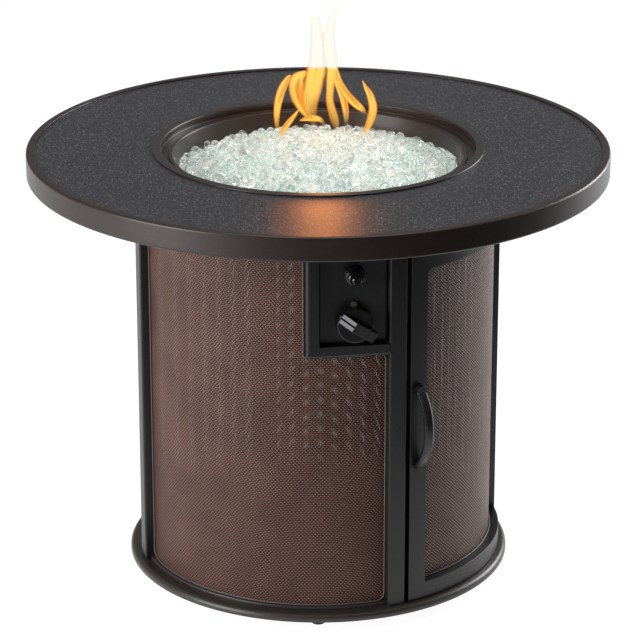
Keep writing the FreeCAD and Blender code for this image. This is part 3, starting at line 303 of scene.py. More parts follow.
coat = bpy.data.node_groups.new("powder_coat", "ShaderNodeTree")
for label, kind in (
    ("Colour", "NodeSocketColor"),
    ("Fleck Colour", "NodeSocketColor"),
    ("Fleck Share", "NodeSocketFloat"),
    ("Grain", "NodeSocketFloat"),
    ("Roughness", "NodeSocketFloat"),
):
    coat.interface.new_socket(name=label, in_out="INPUT", socket_type=kind)
for label, kind in (
    ("Colour", "NodeSocketColor"),
    ("Roughness", "NodeSocketFloat"),
    ("Height", "NodeSocketFloat"),
):
    coat.interface.new_socket(name=label, in_out="OUTPUT", socket_type=kind)
given = coat.nodes.new("NodeGroupInput").outputs
place = object_place(coat)
grain = noise(coat, place, given["Grain"], detail=2.0)
cloud = noise(coat, place, coat_clouds, detail=3.0)
cells = work(coat, "MULTIPLY", given["Grain"], coat_cells)
cell = node(coat, "TexVoronoi", {"Vector": place, "Scale": cells}).outputs
chance = node(coat, "SeparateColor", {0: cell["Color"]}).outputs[0]
picked = work(coat, "LESS_THAN", chance, given["Fleck Share"])
fleck = work(coat, "MULTIPLY", picked, ramp(coat, cell["Distance"], 0.55, 0.2))
off_grain, off_cloud = (work(coat, "SUBTRACT", part, 0.5) for part in (grain, cloud))
shade = work(
    coat,
    "ADD",
    work(coat, "MULTIPLY", off_grain, coat_grain_tone),
    work(coat, "MULTIPLY", off_cloud, coat_cloud),
)
lightness = work(coat, "ADD", shade, 1.0)
toned = node(coat, "VectorMath", {0: given["Colour"], "Scale": lightness}, operation="SCALE")
uneven = work(coat, "MULTIPLY", off_grain, coat_grain_rough)
result = coat.nodes.new("NodeGroupOutput").inputs
coat.links.new(mix(coat, fleck, toned.outputs[0], given["Fleck Colour"]), result["Colour"])
coat.links.new(work(coat, "ADD", given["Roughness"], uneven), result["Roughness"])
coat.links.new(work(coat, "ADD", grain, fleck), result["Height"])


def powder_coat(name, colour, roughness, gloss, fleck, share, grain, depth, edge):
    """Powder-coated steel. gloss is the specular level, fleck the colour of the lighter specks and
    share how many of the cells hold one, grain in spots per metre, depth the relief and edge the
    radius that the coat rounds edges with, both in metres."""
    material, tree, shader = new_finish(name)
    look = {
        "Colour": (*colour, 1),
        "Fleck Colour": (*fleck, 1),
        "Fleck Share": share,
        "Grain": grain,
        "Roughness": roughness,
    }
    made = node(tree, "Group", look, node_tree=coat).outputs
    shader.inputs["Specular IOR Level"].default_value = gloss
    tree.links.new(made["Colour"], shader.inputs["Base Color"])
    tree.links.new(made["Roughness"], shader.inputs["Roughness"])
    relief(tree, shader, made["Height"], depth, strength=0.5, edge=edge)
    return material


frame_dark = powder_coat(
    "frame_dark",
    (0.0095, 0.0085, 0.0080),
    roughness=0.38,
    gloss=0.5,
    fleck=(0.05, 0.05, 0.05),
    share=0.03,
    grain=1300.0,
    depth=0.00005,
    edge=0.0018,
)
frame_bronze = powder_coat(
    "frame_bronze",
    (0.040, 0.032, 0.028),
    roughness=0.38,
    gloss=0.6,
    fleck=(0.07, 0.06, 0.055),
    share=0.03,
    grain=1300.0,
    depth=0.00005,
    edge=0.0015,
)
give_finish(frame_bronze, "rail_front_lower", "rail_left_lower", "rail_rear_lower")
give_finish(frame_dark, "rail_front_upper", "rail_left_upper", "rail_rear_upper")
give_finish(frame_dark, "post_left", "post_center", "post_right", "post_back")
give_finish(frame_dark, "upper_ring", "floor_plate", "tank_seat")


def rounded(outline, arc_steps=5, hold=0.25):
    """A closed outline with its corners rounded. outline holds two coordinates and the radius of
    the corner's round in millimetres, in order. Each corner becomes an arc between its two tangent
    points, and a point on each side of it, hold away, keeps the straight parts straight. Gives the
    points in metres."""
    corner, radius = np.array(outline)[:, :2], np.array(outline)[:, 2]
    before, after = np.roll(corner, 1, 0) - corner, np.roll(corner, -1, 0) - corner
    before /= np.linalg.norm(before, axis=1)[:, None]
    after /= np.linalg.norm(after, axis=1)[:, None]
    half = np.arccos(np.clip((before * after).sum(1), -1, 1)) / 2
    middle = before + after
    middle /= np.linalg.norm(middle, axis=1)[:, None]
    centre = corner + middle * (radius / np.sin(half))[:, None]
    swing = np.linspace(-1, 1, arc_steps + 1)[None, :] * (np.pi / 2 - half)[:, None]
    side = after - before
    side /= np.linalg.norm(side, axis=1)[:, None]
    arc = centre[:, None] + radius[:, None, None] * (
        np.sin(swing)[..., None] * side[:, None] - np.cos(swing)[..., None] * middle[:, None]
    )
    first = arc[:, :1] + before[:, None] * hold
    last = arc[:, -1:] + after[:, None] * hold
    return np.concatenate([first, arc, last], 1).reshape(-1, 2) / 1000


def wrapped_faces(rows, columns):
    """The faces of a grid of points that closes on itself both ways, like a ring's surface."""
    ids = np.arange(rows * columns).reshape(rows, columns)
    ahead, beside = np.roll(ids, -1, 0), np.roll(ids, -1, 1)
    return np.stack([ids, ahead, np.roll(ahead, -1, 1), beside], -1).reshape(-1, 4)


def rolled_sheet(name, outline, material, spokes=400):
    """A rounded profile of r and z, in millimetres, carried round the table's axis: x = r sin a,
    y = -r cos a."""
    loop = rounded(outline)
    a = np.linspace(0, 2 * np.pi, spokes, endpoint=False)[:, None]
    level = np.broadcast_to(loop[:, 1], (spokes, len(loop)))
    points = np.stack([loop[:, 0] * np.sin(a), -loop[:, 0] * np.cos(a), level], -1).reshape(-1, 3)
    return new_piece(name, points, wrapped_faces(spokes, len(loop)), material)


base_hoop = rolled_sheet(
    "base_hoop",
    [(270.5, 17, 0.6), (273, 17, 1.0), (273, 28, 7), (226, 28, 0.6), (226, 25.5, 0.6),
     (270.5, 25.5, 4.5)],
    frame_bronze,
)
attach(base_hoop, "table")
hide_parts("base_ring")


# ---- Mesh panels ----
# Brown vinyl-coated yarn in a plain open weave, stretched round the drum in the grooves of the
# posts and rails: one L-shaped panel round the control bay, and two at the back.

drum_radius = 0.2475
panel_step, panel_rows = 0.006, 13

# The pitches are in metres, the half width of a yarn in pitches, and the three parts of its height
# make 1 together.
yarn_pitch_across, yarn_pitch_up = 0.0025, 0.0027
yarn_half_width = 0.35
yarn_base, yarn_round, yarn_wave = 0.30, 0.42, 0.28

weave = bpy.data.node_groups.new("open_weave", "ShaderNodeTree")
for label, kind in (
    ("Place", "NodeSocketVector"),
    ("Pitch Across", "NodeSocketFloat"),
    ("Pitch Up", "NodeSocketFloat"),
):
    weave.interface.new_socket(name=label, in_out="INPUT", socket_type=kind)
for label in ("Height", "Yarn", "Turn"):
    weave.interface.new_socket(name=label, in_out="OUTPUT", socket_type="NodeSocketFloat")
given = weave.nodes.new("NodeGroupInput").outputs
along = node(weave, "SeparateXYZ", {0: given["Place"]}).outputs


def yarn_set(across, along_it, sign):
    """One set of parallel yarns, with both coordinates in pitches. Across a yarn its top is a half
    circle over its width, and along it the yarn rises and falls as a cosine, over one crossing and
    under the next: base + round * sqrt(1 - (off / half width)^2) + wave * cos(pi cell) *
    cos(pi (along - 0.5)). Gives that height, at most 1, and where the yarn is."""
    cell = work(weave, "FLOOR", across)
    off = work(weave, "SUBTRACT", work(weave, "SUBTRACT", across, cell), 0.5)
    part = work(weave, "DIVIDE", off, yarn_half_width)
    rise = work(weave, "SUBTRACT", 1.0, work(weave, "MULTIPLY", part, part))
    there = work(weave, "GREATER_THAN", rise, 0.0)
    round_top = work(weave, "SQRT", work(weave, "MAXIMUM", rise, 0.0))
    parity = work(weave, "COSINE", work(weave, "MULTIPLY", cell, math.pi))
    phase = work(weave, "MULTIPLY", work(weave, "SUBTRACT", along_it, 0.5), math.pi)
    swing = work(weave, "MULTIPLY", parity, work(weave, "COSINE", phase))
    swing = work(weave, "MULTIPLY", swing, sign * yarn_wave)
    height = work(weave, "ADD", work(weave, "MULTIPLY", round_top, yarn_round), swing)
    return work(weave, "MULTIPLY", work(weave, "ADD", height, yarn_base), there), there


across = work(weave, "DIVIDE", along[0], given["Pitch Across"])
up = work(weave, "DIVIDE", along[1], given["Pitch Up"])
upright_height, upright_there = yarn_set(across, up, 1.0)
level_height, level_there = yarn_set(up, across, -1.0)
result = weave.nodes.new("NodeGroupOutput").inputs
weave.links.new(work(weave, "MAXIMUM", upright_height, level_height), result["Height"])
weave.links.new(work(weave, "MAXIMUM", upright_there, level_there), result["Yarn"])
weave.links.new(work(weave, "GREATER_THAN", upright_height, level_height), result["Turn"])


def woven_mesh(name, lit_yarn, shaded_yarn, deep, across, up):
    """The panels' material: the weave's holes in Alpha and its height as relief. The level yarns
    have the lit colour and the upright ones the shaded colour, a painted highlight and a painted
    shade on one and the same yarn, and both go to the deep colour where they dip, a painted shade
    in the weave's hollows. The yarn is painted a little lighter and darker in clouds, a painted
    sheen. across and up are the pitches of the yarns, in metres."""
    material, tree, shader = new_finish(name)
    place = node(tree, "UVMap", uv_map="surface").outputs[0]
    pitches = {"Place": place, "Pitch Across": across, "Pitch Up": up}
    made = node(tree, "Group", pitches, node_tree=weave).outputs
    # Painted highlight on the level yarns, painted shade on the upright ones and in the dips.
    top = mix(tree, made["Turn"], lit_yarn, shaded_yarn)
    dip = mix(tree, ramp(tree, made["Height"], 0.45, 0.95), deep, top)
    # Painted sheen: the yarn a little lighter and darker in clouds.
    cloud = noise(tree, object_place(tree), 14.0, detail=3.0)
    lightness = ramp(tree, cloud, 0.30, 0.70, 0.86, 1.14)
    tone = node(tree, "VectorMath", {0: dip, "Scale": lightness}, operation="SCALE")
    tree.links.new(tone.outputs[0], shader.inputs["Base Color"])
    tree.links.new(made["Yarn"], shader.inputs["Alpha"])
    shader.inputs["Roughness"].default_value = 0.45
    shader.inputs["Specular IOR Level"].default_value = 0.25
    relief(tree, shader, made["Height"], depth=0.0006, strength=0.8)
    return material


panel_yarn = woven_mesh(
    "panel_yarn",
    lit_yarn=(0.285, 0.160, 0.128),
    shaded_yarn=(0.075, 0.025, 0.016),
    deep=(0.012, 0.004, 0.002),
    across=yarn_pitch_across,
    up=yarn_pitch_up,
)
# The door's yarn is painted lighter and greyer than the panels': a painted sheen.
door_sheen_yarn = woven_mesh(
    "door_sheen_yarn",
    lit_yarn=(0.38, 0.262, 0.225),
    shaded_yarn=(0.070, 0.032, 0.025),
    deep=(0.014, 0.006, 0.005),
    across=yarn_pitch_up,
    up=yarn_pitch_across,
)


def drum_panel(name, angles, heights, material, cut_angle=None, cut_height=None):
    """A sheet on the drum: x = r sin a, y = -r cos a over a grid of the angle a, in degrees, and
    the height z. The part with a above cut_angle and z above cut_height is left out. The UV map is
    the unrolled sheet, in metres."""
    arc = math.radians(angles[1] - angles[0]) * drum_radius
    columns = np.linspace(*angles, math.ceil(arc / panel_step) + 1)
    levels = np.linspace(*heights, panel_rows)
    if cut_angle is not None:
        columns = np.unique(np.append(columns, cut_angle))
        levels = np.unique(np.append(levels, cut_height))
    a, z = (grid.ravel() for grid in np.meshgrid(np.radians(columns), levels))
    points = np.stack([drum_radius * np.sin(a), -drum_radius * np.cos(a), z], 1)
    corner = np.arange(len(levels) * len(columns)).reshape(len(levels), len(columns))
    faces = np.stack(
        [corner[:-1, :-1], corner[:-1, 1:], corner[1:, 1:], corner[1:, :-1]], -1
    ).reshape(-1, 4)
    if cut_angle is not None:
        middle_a, middle_z = np.degrees(a)[faces].mean(1), z[faces].mean(1)
        faces = faces[(middle_a < cut_angle) | (middle_z < cut_height)]
        used, order = np.unique(faces, return_inverse=True)
        points, a, z, faces = points[used], a[used], z[used], order.reshape(-1, 4)
    return new_piece(name, points, faces, material, np.stack([a * drum_radius, z], 1))


hem_vinyl = moulded_rubber("hem_vinyl", (0.12, 0.10, 0.095), roughness=0.42, grain=1500.0)


def panel_hem(name, outline, body, thick=0.0011, out=0.2489, step=0.003, sides=8):
    """A thin cord along a closed outline on the drum, at the radius out. outline holds the arc
    length round the drum, the height and the corner's round in millimetres. Round each point of
    the rounded outline goes a circle, spanned by the drum's radius and the direction square to the
    outline."""
    loop = rounded(outline)
    loop = np.vstack([loop, loop[:1]])
    run = np.append(0, np.cumsum(np.hypot(*np.diff(loop, axis=0).T)))
    at = np.linspace(0, run[-1], round(run[-1] / step), endpoint=False)
    u, z = np.interp(at, run, loop[:, 0]), np.interp(at, run, loop[:, 1])
    du, dz = np.roll(u, -1) - np.roll(u, 1), np.roll(z, -1) - np.roll(z, 1)
    length = np.hypot(du, dz)
    a = u / drum_radius
    radial = np.stack([np.sin(a), -np.cos(a), np.zeros_like(a)], 1)
    sideways = np.stack([np.cos(a), np.sin(a), np.zeros_like(a)], 1) * (-dz / length)[:, None]
    sideways[:, 2] = du / length
    middle = radial * out
    middle[:, 2] = z
    turn = np.linspace(0, 2 * np.pi, sides, endpoint=False)[None, :, None]
    points = middle[:, None] + thick * (
        np.cos(turn) * radial[:, None] + np.sin(turn) * sideways[:, None]
    )
    hem = new_piece(name, points.reshape(-1, 3), wrapped_faces(len(a), sides), hem_vinyl)
    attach(hem, body)
    return hem


panel_heights = (0.032, 0.5779)
bay_angle, bay_foot = -4.35, 0.400
hem_low, hem_high, hem_inset = 33.0, 577.0, 0.9
low_round, high_round = 10, 3
front_hem = panel_hem(
    "mesh_front_hem",
    [(-304.0, hem_low, low_round), (92.8, hem_low, low_round), (92.8, 399.0, 8),
     (-20.0, 399.0, high_round), (-20.0, hem_high, high_round), (-304.0, hem_high, high_round)],
    "table",
)
front_panel = drum_panel(
    "mesh_front_panel", (-70.55, 21.65), panel_heights, panel_yarn, bay_angle, bay_foot
)
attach(front_panel, "table")
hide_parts("mesh_front")
for name, angles, posts in (
    ("left", (-159.15, -76.25), ["post_left", "post_back"]),
    ("rear", (112.25, 195.15), ["post_right", "post_back"]),
):
    panel = drum_panel(f"mesh_{name}_panel", angles, panel_heights, panel_yarn)
    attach(panel, "table")
    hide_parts(f"mesh_{name}")
    left, right = (math.radians(angle) * drum_radius * 1000 for angle in angles)
    left, right = left + hem_inset, right - hem_inset
    hem = panel_hem(
        f"mesh_{name}_hem",
        [(left, hem_low, low_round), (right, hem_low, low_round),
         (right, hem_high, high_round), (left, hem_high, high_round)],
        "table",
    )


# ---- Gas train ----
# A cast aluminium valve on the back of the control plate, with brass fittings and a bent aluminium
# tube that carries the gas up to the burner.

brass = plated_metal("brass", (0.85, 0.66, 0.36), roughness=0.40, brush=700.0)
valve_alloy = plated_metal("valve_alloy", (0.62, 0.63, 0.65), roughness=0.42, brush=500.0)
give_finish(brass, "gas_inlet", "tube_nuts", "valve_stem", "valve_screws")
give_finish(valve_alloy, "gas_valve", "gas_tube")
give_finish(zinc, "stem_collar")


# ---- Control bay ----
# A welded frame of square tube round a pressed steel plate, in the same coat as the posts. It
# fills the corner that the front panel leaves open.

give_finish(frame_dark, "control_frame", "control_plate")


# ---- Igniter and control knob ----
# Gloss black moulded plastic. The knob's two pointer marks are printed in light grey, and the
# igniter's button sits above it in a body with a ring nut.

gloss_black = moulded_rubber("gloss_black", (0.008, 0.008, 0.009), roughness=0.16, grain=500.0)
mark_paint = moulded_rubber("mark_paint", (0.27, 0.27, 0.28), roughness=0.45, grain=900.0)
give_finish(gloss_black, "control_knob", "igniter_body", "igniter_ring_nut", "igniter_button")
give_finish(mark_paint, "knob_marks")


# ---- Door ----
# A curved frame pressed from sheet, with its own mesh, a strap handle on two screws, two pivot pins
# and a magnetic catch. It swings on the pins at its right side.

door_panel = drum_panel("door_mesh_panel", (34.4, 99.3), (0.053, 0.514), door_sheen_yarn)
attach(door_panel, "door")
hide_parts("door_mesh")
door_hem = panel_hem(
    "door_mesh_hem",
    [(149.6, 54.0, 9), (427.9, 54.0, 9), (427.9, 513.0, 9), (149.6, 513.0, 9)],
    "door",
)

catch_black = moulded_rubber("catch_black", (0.03, 0.03, 0.03), roughness=0.5, grain=900.0)
handle_black = moulded_rubber("handle_black", (0.012, 0.011, 0.0105), roughness=0.30, grain=700.0)
give_finish(frame_dark, "door_frame", "door_header")
give_finish(handle_black, "door_handle")
give_finish(zinc, "door_pivot_pins", "handle_screws", "strike_plate")
give_finish(catch_black, "magnet_catch")


# ---- Table top ----
# A rolled rim with a satin bronze coat round a flat inlay sheet in a coarser charcoal coat, carried
# by a ring and eight arms bolted to the drum.

rim_bronze = powder_coat(
    "rim_bronze",
    (0.025, 0.0145, 0.0115),
    roughness=0.36,
    gloss=0.5,
    fleck=(0.08, 0.06, 0.05),
    share=0.04,
    grain=1500.0,
    depth=0.00004,
    edge=0.0018,
)
inlay_gloss = 0.35
inlay_charcoal = powder_coat(
    "inlay_charcoal",
    (0.031, 0.031, 0.036),
    roughness=0.38,
    gloss=inlay_gloss,
    fleck=(0.26, 0.26, 0.25),
    share=0.22,
    grain=830.0,
    depth=0.0003,
    edge=0.0005,
)

# The coat's coarse grains shade each other, so its gloss fades where it is seen along the surface.
inlay_faint_gloss = 0.02
fade_from, fade_to = 0.725, 0.768
tree = inlay_charcoal.node_tree
facing = node(tree, "LayerWeight", {"Blend": 0.5}).outputs["Facing"]
tree.links.new(
    ramp(tree, facing, fade_from, fade_to, inlay_gloss, inlay_faint_gloss),
    tree.nodes["Principled BSDF"].inputs["Specular IOR Level"],
)

top_hoop = rolled_sheet(
    "top_rolled_rim",
    [(395, 622.3, 0.9), (395, 619.9, 0.3), (404, 619.9, 0.3), (404, 590.7, 0.6),
     (386, 590.7, 0.9), (386, 588.3, 0.9), (406.4, 588.3, 3.0), (406.4, 622.3, 3.0)],
    rim_bronze,
)
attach(top_hoop, "table")
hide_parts("table_rim")
give_finish(inlay_charcoal, "top_plate")
give_finish(frame_dark, "top_support_ring", "top_support_arms")
give_finish(zinc, "top_bolts")


# ---- Burner bowl ----
# A flanged trim ring and a drawn pan in the rim's bronze coat, a little glossier. The trim lies
# over the edge of the inlay's hole, and the pan hangs by its lip on the trim's ledge.

bowl_bronze = powder_coat(
    "bowl_bronze",
    (0.024, 0.016, 0.0135),
    roughness=0.32,
    gloss=0.55,
    fleck=(0.08, 0.06, 0.05),
    share=0.02,
    grain=1500.0,
    depth=0.00003,
    edge=0.0012,
)
bowl_flange = rolled_sheet(
    "bowl_flange",
    [(232.5, 619.9, 0.3), (232.5, 622.3, 0.9), (219.5, 622.3, 1.8), (219.5, 610.3, 1.2),
     (205.4, 610.3, 0.6), (205.4, 608.3, 0.6), (221.5, 608.3, 1.2), (221.5, 619.9, 0.3)],
    bowl_bronze,
)
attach(bowl_flange, "table")
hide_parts("bowl_trim")
drawn_pan = rolled_sheet(
    "drawn_pan",
    [(209, 610.3, 0.5), (209, 612.3, 0.9), (203.2, 612.3, 1.8), (196, 572.3, 4.0),
     (11, 572.3, 0.4), (11, 570.3, 0.4), (197.6, 570.3, 5.0), (205.2, 610.3, 0.4)],
    bowl_bronze,
)
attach(drawn_pan, "table")
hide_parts("burner_pan")


# ---- Burner ----
# A stainless ring burner with its feed, mixer and heat shield, and the igniter's ceramic electrode
# beside it. The ring lies in the glass, and the mixer and the shield are below the pan.

stainless = plated_metal("stainless", (0.52, 0.52, 0.53), roughness=0.3, brush=900.0)
ceramic = moulded_rubber("white_ceramic", (0.80, 0.79, 0.75), roughness=0.5, grain=900.0)
give_finish(stainless, "burner_ring", "burner_feed", "burner_locknut", "heat_shield")
give_finish(stainless, "shield_standoffs", "thermocouple")
give_finish(brass, "air_mixer")
give_finish(ceramic, "igniter_electrode")


# ---- Fire glass ----
# Tumbled clear glass with a faint green tint, in pebbles of 12 to 20 mm heaped over the burner. The
# pebbles that show are modelled one by one; what lies under them is one pebbled bed.

bed_radius, bed_margin = 0.198, 0.006
bed_edge, bed_crown = 0.5925, 0.6115
pebble_count = 820
pebble_small, pebble_large = 0.0062, 0.0098
pebble_widths = (0.95, 1.20), (0.80, 1.00), (0.58, 0.85)
lump_depth, lump_pace = 0.10, 2.2
sink_least, sink_most, sink_limit = 0.002, 0.013, 0.016
settle_rounds, settle_push = 40, 0.3
pebble_touch, wall_touch, top_touch = 0.86, 0.8, 0.75
draw = np.random.default_rng(24)


def bed_top(radius):
    """The height of the heaped glass: the crown in the middle, and down to the edge with the square
    of the radius."""
    return bed_crown - (bed_crown - bed_edge) * (radius / bed_radius) ** 2


# The pebbles are strewn over the bed, sunk below its top, then pushed apart wherever two overlap
# and held inside the bowl's wall and near the top of the heap. The touches are in pebble radii.
size = draw.uniform(pebble_small, pebble_large, pebble_count).astype(np.float32)
reach = np.sqrt(draw.uniform(0, 1, pebble_count)) * (bed_radius - bed_margin)
turn = draw.uniform(0, 2 * np.pi, pebble_count)
depth = draw.uniform(sink_least, sink_most, pebble_count)
middle = np.stack(
    [reach * np.cos(turn), reach * np.sin(turn), bed_top(reach) - depth], 1
).astype(np.float32)
for _ in range(settle_rounds):
    apart = middle[:, None] - middle[None]
    far = np.sqrt((apart**2).sum(-1)) + 1e-6
    near = np.maximum((size[:, None] + size[None]) * pebble_touch - far, 0)
    np.fill_diagonal(near, 0)
    middle += (apart / far[..., None] * near[..., None]).sum(1) * settle_push
    reach = np.hypot(middle[:, 0], middle[:, 1])
    held = np.minimum(reach, bed_radius - size * wall_touch) / reach
    middle[:, :2] *= held[:, None]
    top = bed_top(np.hypot(middle[:, 0], middle[:, 1]))
    middle[:, 2] = np.clip(middle[:, 2], top - sink_limit, top - size * top_touch)

# Each is a ball with three widths and with lumps, 1 + lump_depth * sin(lump_pace * dent . point),
# turned any way round.
ball = bmesh.new()
bmesh.ops.create_icosphere(ball, subdivisions=2, radius=1.0)
ball_points = np.array([v.co for v in ball.verts])
ball_faces = np.array([[v.index for v in f.verts] for f in ball.faces])
ball.free()
squash = np.stack([draw.uniform(low, high, pebble_count) for low, high in pebble_widths], 1)
turns = np.linalg.qr(draw.normal(size=(pebble_count, 3, 3)))[0]
turns *= np.sign(np.linalg.det(turns))[:, None, None]
dent = draw.normal(size=(pebble_count, 3))
lump = 1 + lump_depth * np.sin(lump_pace * np.einsum("nk,vk->nv", dent, ball_points))
pebbles = ball_points[None] * lump[..., None] * squash[:, None] * size[:, None, None]
pebbles = np.einsum("nij,nvj->nvi", turns, pebbles) + middle[:, None]
pebble_faces = ball_faces[None] + (np.arange(pebble_count) * len(ball_points))[:, None, None]

glass_green, glass_clear = (0.86, 0.96, 0.93), (1.0, 1.0, 0.99)
clear_glass, tree, shader = new_finish("clear_glass")
tint = node(tree, "Attribute", attribute_name="tint").outputs["Fac"]
tree.links.new(mix(tree, tint, glass_green, glass_clear), shader.inputs["Base Color"])
shader.inputs["Transmission Weight"].default_value = 0.88
shader.inputs["Roughness"].default_value = 0.04
shader.inputs["IOR"].default_value = 1.46
ripple = noise(tree, object_place(tree), 260.0, detail=2.0)
relief(tree, shader, ripple, depth=0.0008, strength=0.4)

glass_pebbles = new_piece(
    "fire_glass_pebbles", pebbles.reshape(-1, 3), pebble_faces.reshape(-1, 3), clear_glass
)
shades = glass_pebbles.data.attributes.new("tint", "FLOAT", "POINT")
shades.data.foreach_set(
    "value", np.repeat(draw.uniform(0, 1, pebble_count), len(ball_points)).astype(np.float32)
)
glass_pebbles.visible_shadow = False
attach(glass_pebbles, "table")
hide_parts("fire_glass")

# The bed below them: a bumpy disc that follows the heap's top, under_depth below it.
under_depth, under_bump = 0.011, 0.0022
bump_pace, bumps_around = 620, 520
rings, spokes = 60, 240
r, a = np.meshgrid(
    np.linspace(0, bed_radius, rings + 1)[1:], np.linspace(0, 2 * np.pi, spokes, endpoint=False)
)
bumps = under_bump * np.sin(r * bump_pace) * np.sin(a * np.round(r * bumps_around))
level = bed_top(r) - under_depth + bumps
under = np.stack([r * np.cos(a), r * np.sin(a), level], -1).reshape(-1, 3)
under = np.vstack([under, [[0, 0, bed_crown - under_depth]]])
ids = np.arange(spokes * rings).reshape(spokes, rings)
after = np.roll(ids, -1, 0)
quads = np.stack([ids[:, :-1], ids[:, 1:], after[:, 1:], after[:, :-1]], -1).reshape(-1, 4)
hub = np.stack([np.full(spokes, spokes * rings), ids[:, 0], after[:, 0]], -1)

deep_green, deep_pale = (0.26, 0.33, 0.31), (0.70, 0.73, 0.68)
deep_glass, tree, shader = new_finish("deep_glass")
place = object_place(tree)
facet = ramp(tree, noise(tree, place, 320.0, detail=3.0), 0.35, 0.65)
tree.links.new(mix(tree, facet, deep_green, deep_pale), shader.inputs["Base Color"])
shader.inputs["Roughness"].default_value = 0.12
cell = node(tree, "TexVoronoi", {"Vector": place, "Scale": 95.0}).outputs["Distance"]
relief(tree, shader, cell, depth=0.004, strength=0.9, invert=True)
glass_under = new_piece("fire_glass_under", under, quads.tolist() + hub.tolist(), deep_glass)
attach(glass_under, "table")
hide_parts("fire_glass")


# ---- Flame ----
# The burner is lit in the photograph. A flame isn't a piece of the table, so it is staged as a lamp
# is: nine thin tongues above the back of the burner ring, and the warm light that they give. It is
# deep orange at the edges, yellow in the streaks and clears to near white above the table.

flame_breadth, flame_stagger = 1.28, 40
flame_clear_from, flame_clear_to = 0.7035, 0.7095
flame_orange, flame_yellow = (0.98, 0.30, 0.03), (1.0, 0.70, 0.14)
flame_pale, flame_grey = (1.0, 0.985, 0.85), (0.88, 0.81, 0.80)
flame_mirrored, flame_gloss = (1.0, 0.28, 0.055), 13.0
flame_middle, flame_seen, flame_given = 0.012, 0.6, 0.4
glow_near, glow_far = 0.325, 0.40

flame, tree, shader = new_finish("flame")
tree.nodes.remove(shader)
where = node(tree, "SeparateXYZ", {0: object_place(tree)}).outputs
height = where["Z"]
skin = node(tree, "UVMap", uv_map="surface").outputs[0]
across = work(tree, "MULTIPLY", node(tree, "SeparateXYZ", {0: skin}).outputs[0], 2.0)
off_middle = work(tree, "ABSOLUTE", work(tree, "SUBTRACT", across, 1.0))
drawn_out = node(tree, "Mapping", {"Vector": skin, "Scale": (1.7, 0.8, 1)}).outputs[0]
streak = noise(tree, drawn_out, 1.6, detail=2.0, distortion=0.6)

edge_dark = work(tree, "MULTIPLY", ramp(tree, off_middle, 0.25, 0.95), 0.85)
core = work(tree, "SUBTRACT", ramp(tree, streak, 0.32, 0.58), edge_dark)
core = work(tree, "ADD", core, ramp(tree, height, 0.64, 0.71, 0.0, 0.35), clamp=True)
warm_tone = mix(tree, core, flame_orange, flame_yellow)
clear_tone = mix(tree, ramp(tree, off_middle, 0.35, 0.95), flame_pale, flame_grey)
clearing = ramp(tree, height, flame_clear_from, flame_clear_to)
tone = mix(tree, clearing, warm_tone, clear_tone)

rise = node(tree, "Attribute", attribute_name="along").outputs["Fac"]
body = ramp(tree, off_middle, 1.0, 0.55)
for part in (
    ramp(tree, streak, 0.2, 0.55, 0.55, 1.0),
    ramp(tree, rise, 0.0, 0.34, 0.03, 1.0),
    ramp(tree, height, 0.74, 0.80, 1.0, 0.6),
):
    body = work(tree, "MULTIPLY", body, part)

# Glossy rays see the flame brighter in its middle and from glow_far away, in metres, which puts its
# glow on the inlay in front of the bowl.
ray = node(tree, "LightPath").outputs
off_side = work(tree, "ABSOLUTE", work(tree, "SUBTRACT", where["X"], flame_middle))
inner = ramp(tree, off_side, 0.06, 0.025, 0.15, 1.0)
mirrored = ramp(tree, ray["Ray Length"], glow_near, glow_far, 0.5, flame_gloss)
mirrored = work(tree, "MULTIPLY", ray["Is Glossy Ray"], work(tree, "MULTIPLY", inner, mirrored))
strength = work(
    tree,
    "ADD",
    work(tree, "MULTIPLY", ray["Is Camera Ray"], flame_seen),
    work(tree, "ADD", mirrored, flame_given),
)
tone = mix(tree, ray["Is Glossy Ray"], tone, flame_mirrored)
glow = node(tree, "Emission", {"Color": tone, "Strength": strength}).outputs[0]
clear = node(tree, "BsdfTransparent").outputs[0]
blend = node(tree, "MixShader", {0: body, 1: clear, 2: glow})
tree.links.new(blend.outputs[0], tree.nodes["Material Output"].inputs["Surface"])


def flame_tongue(name, line, y, thin=0.35, steps=48, sides=16):
    """A tongue of flame: an ellipse, thin times as deep as wide, carried along a smooth line at the
    depth y. line holds x, z and width in millimetres from the root to the tip; between two points
    the line and the width follow a cubic Hermite spline, with the slopes from the points on both
    sides. The UV map goes across and up the tongue, staggered from one to the next."""
    line = np.array(line) / 1000
    t = np.linspace(0, len(line) - 1, steps)
    slope = np.gradient(line, axis=0)
    i = np.minimum(t.astype(int), len(line) - 2)
    s = (t - i)[:, None]
    x, z, width = (
        (1 + 2 * s) * (1 - s) ** 2 * line[i]
        + s * (1 - s) ** 2 * slope[i]
        + s**2 * (3 - 2 * s) * line[i + 1]
        + s**2 * (s - 1) * slope[i + 1]
    ).T
    dx, dz = np.gradient(x), np.gradient(z)
    length = np.hypot(dx, dz)
    around = np.linspace(0, 2 * np.pi, sides, endpoint=False)
    half = width[:, None] * flame_breadth / 2
    side = half * np.cos(around)
    points = np.stack(
        [
            x[:, None] + side * (dz / length)[:, None],
            y + half * thin * np.sin(around),
            z[:, None] - side * (dx / length)[:, None],
        ],
        -1,
    ).reshape(-1, 3)
    ids = np.arange(steps * sides).reshape(steps, sides)
    after = np.roll(ids, -1, 1)
    faces = np.stack([ids[:-1], after[:-1], after[1:], ids[1:]], -1).reshape(-1, 4)
    spread = np.broadcast_to((1 + np.cos(around)) / 2, (steps, sides))
    height = np.broadcast_to(t[:, None] / t[-1] + y * flame_stagger, (steps, sides))
    uv = np.stack([spread, height], -1).reshape(-1, 2)
    tongue = new_piece(name, points, faces, flame, uv)
    along = tongue.data.attributes.new("along", "FLOAT", "POINT")
    along.data.foreach_set("value", np.repeat(t / t[-1], sides).astype(np.float32))
    tongue.visible_shadow = False


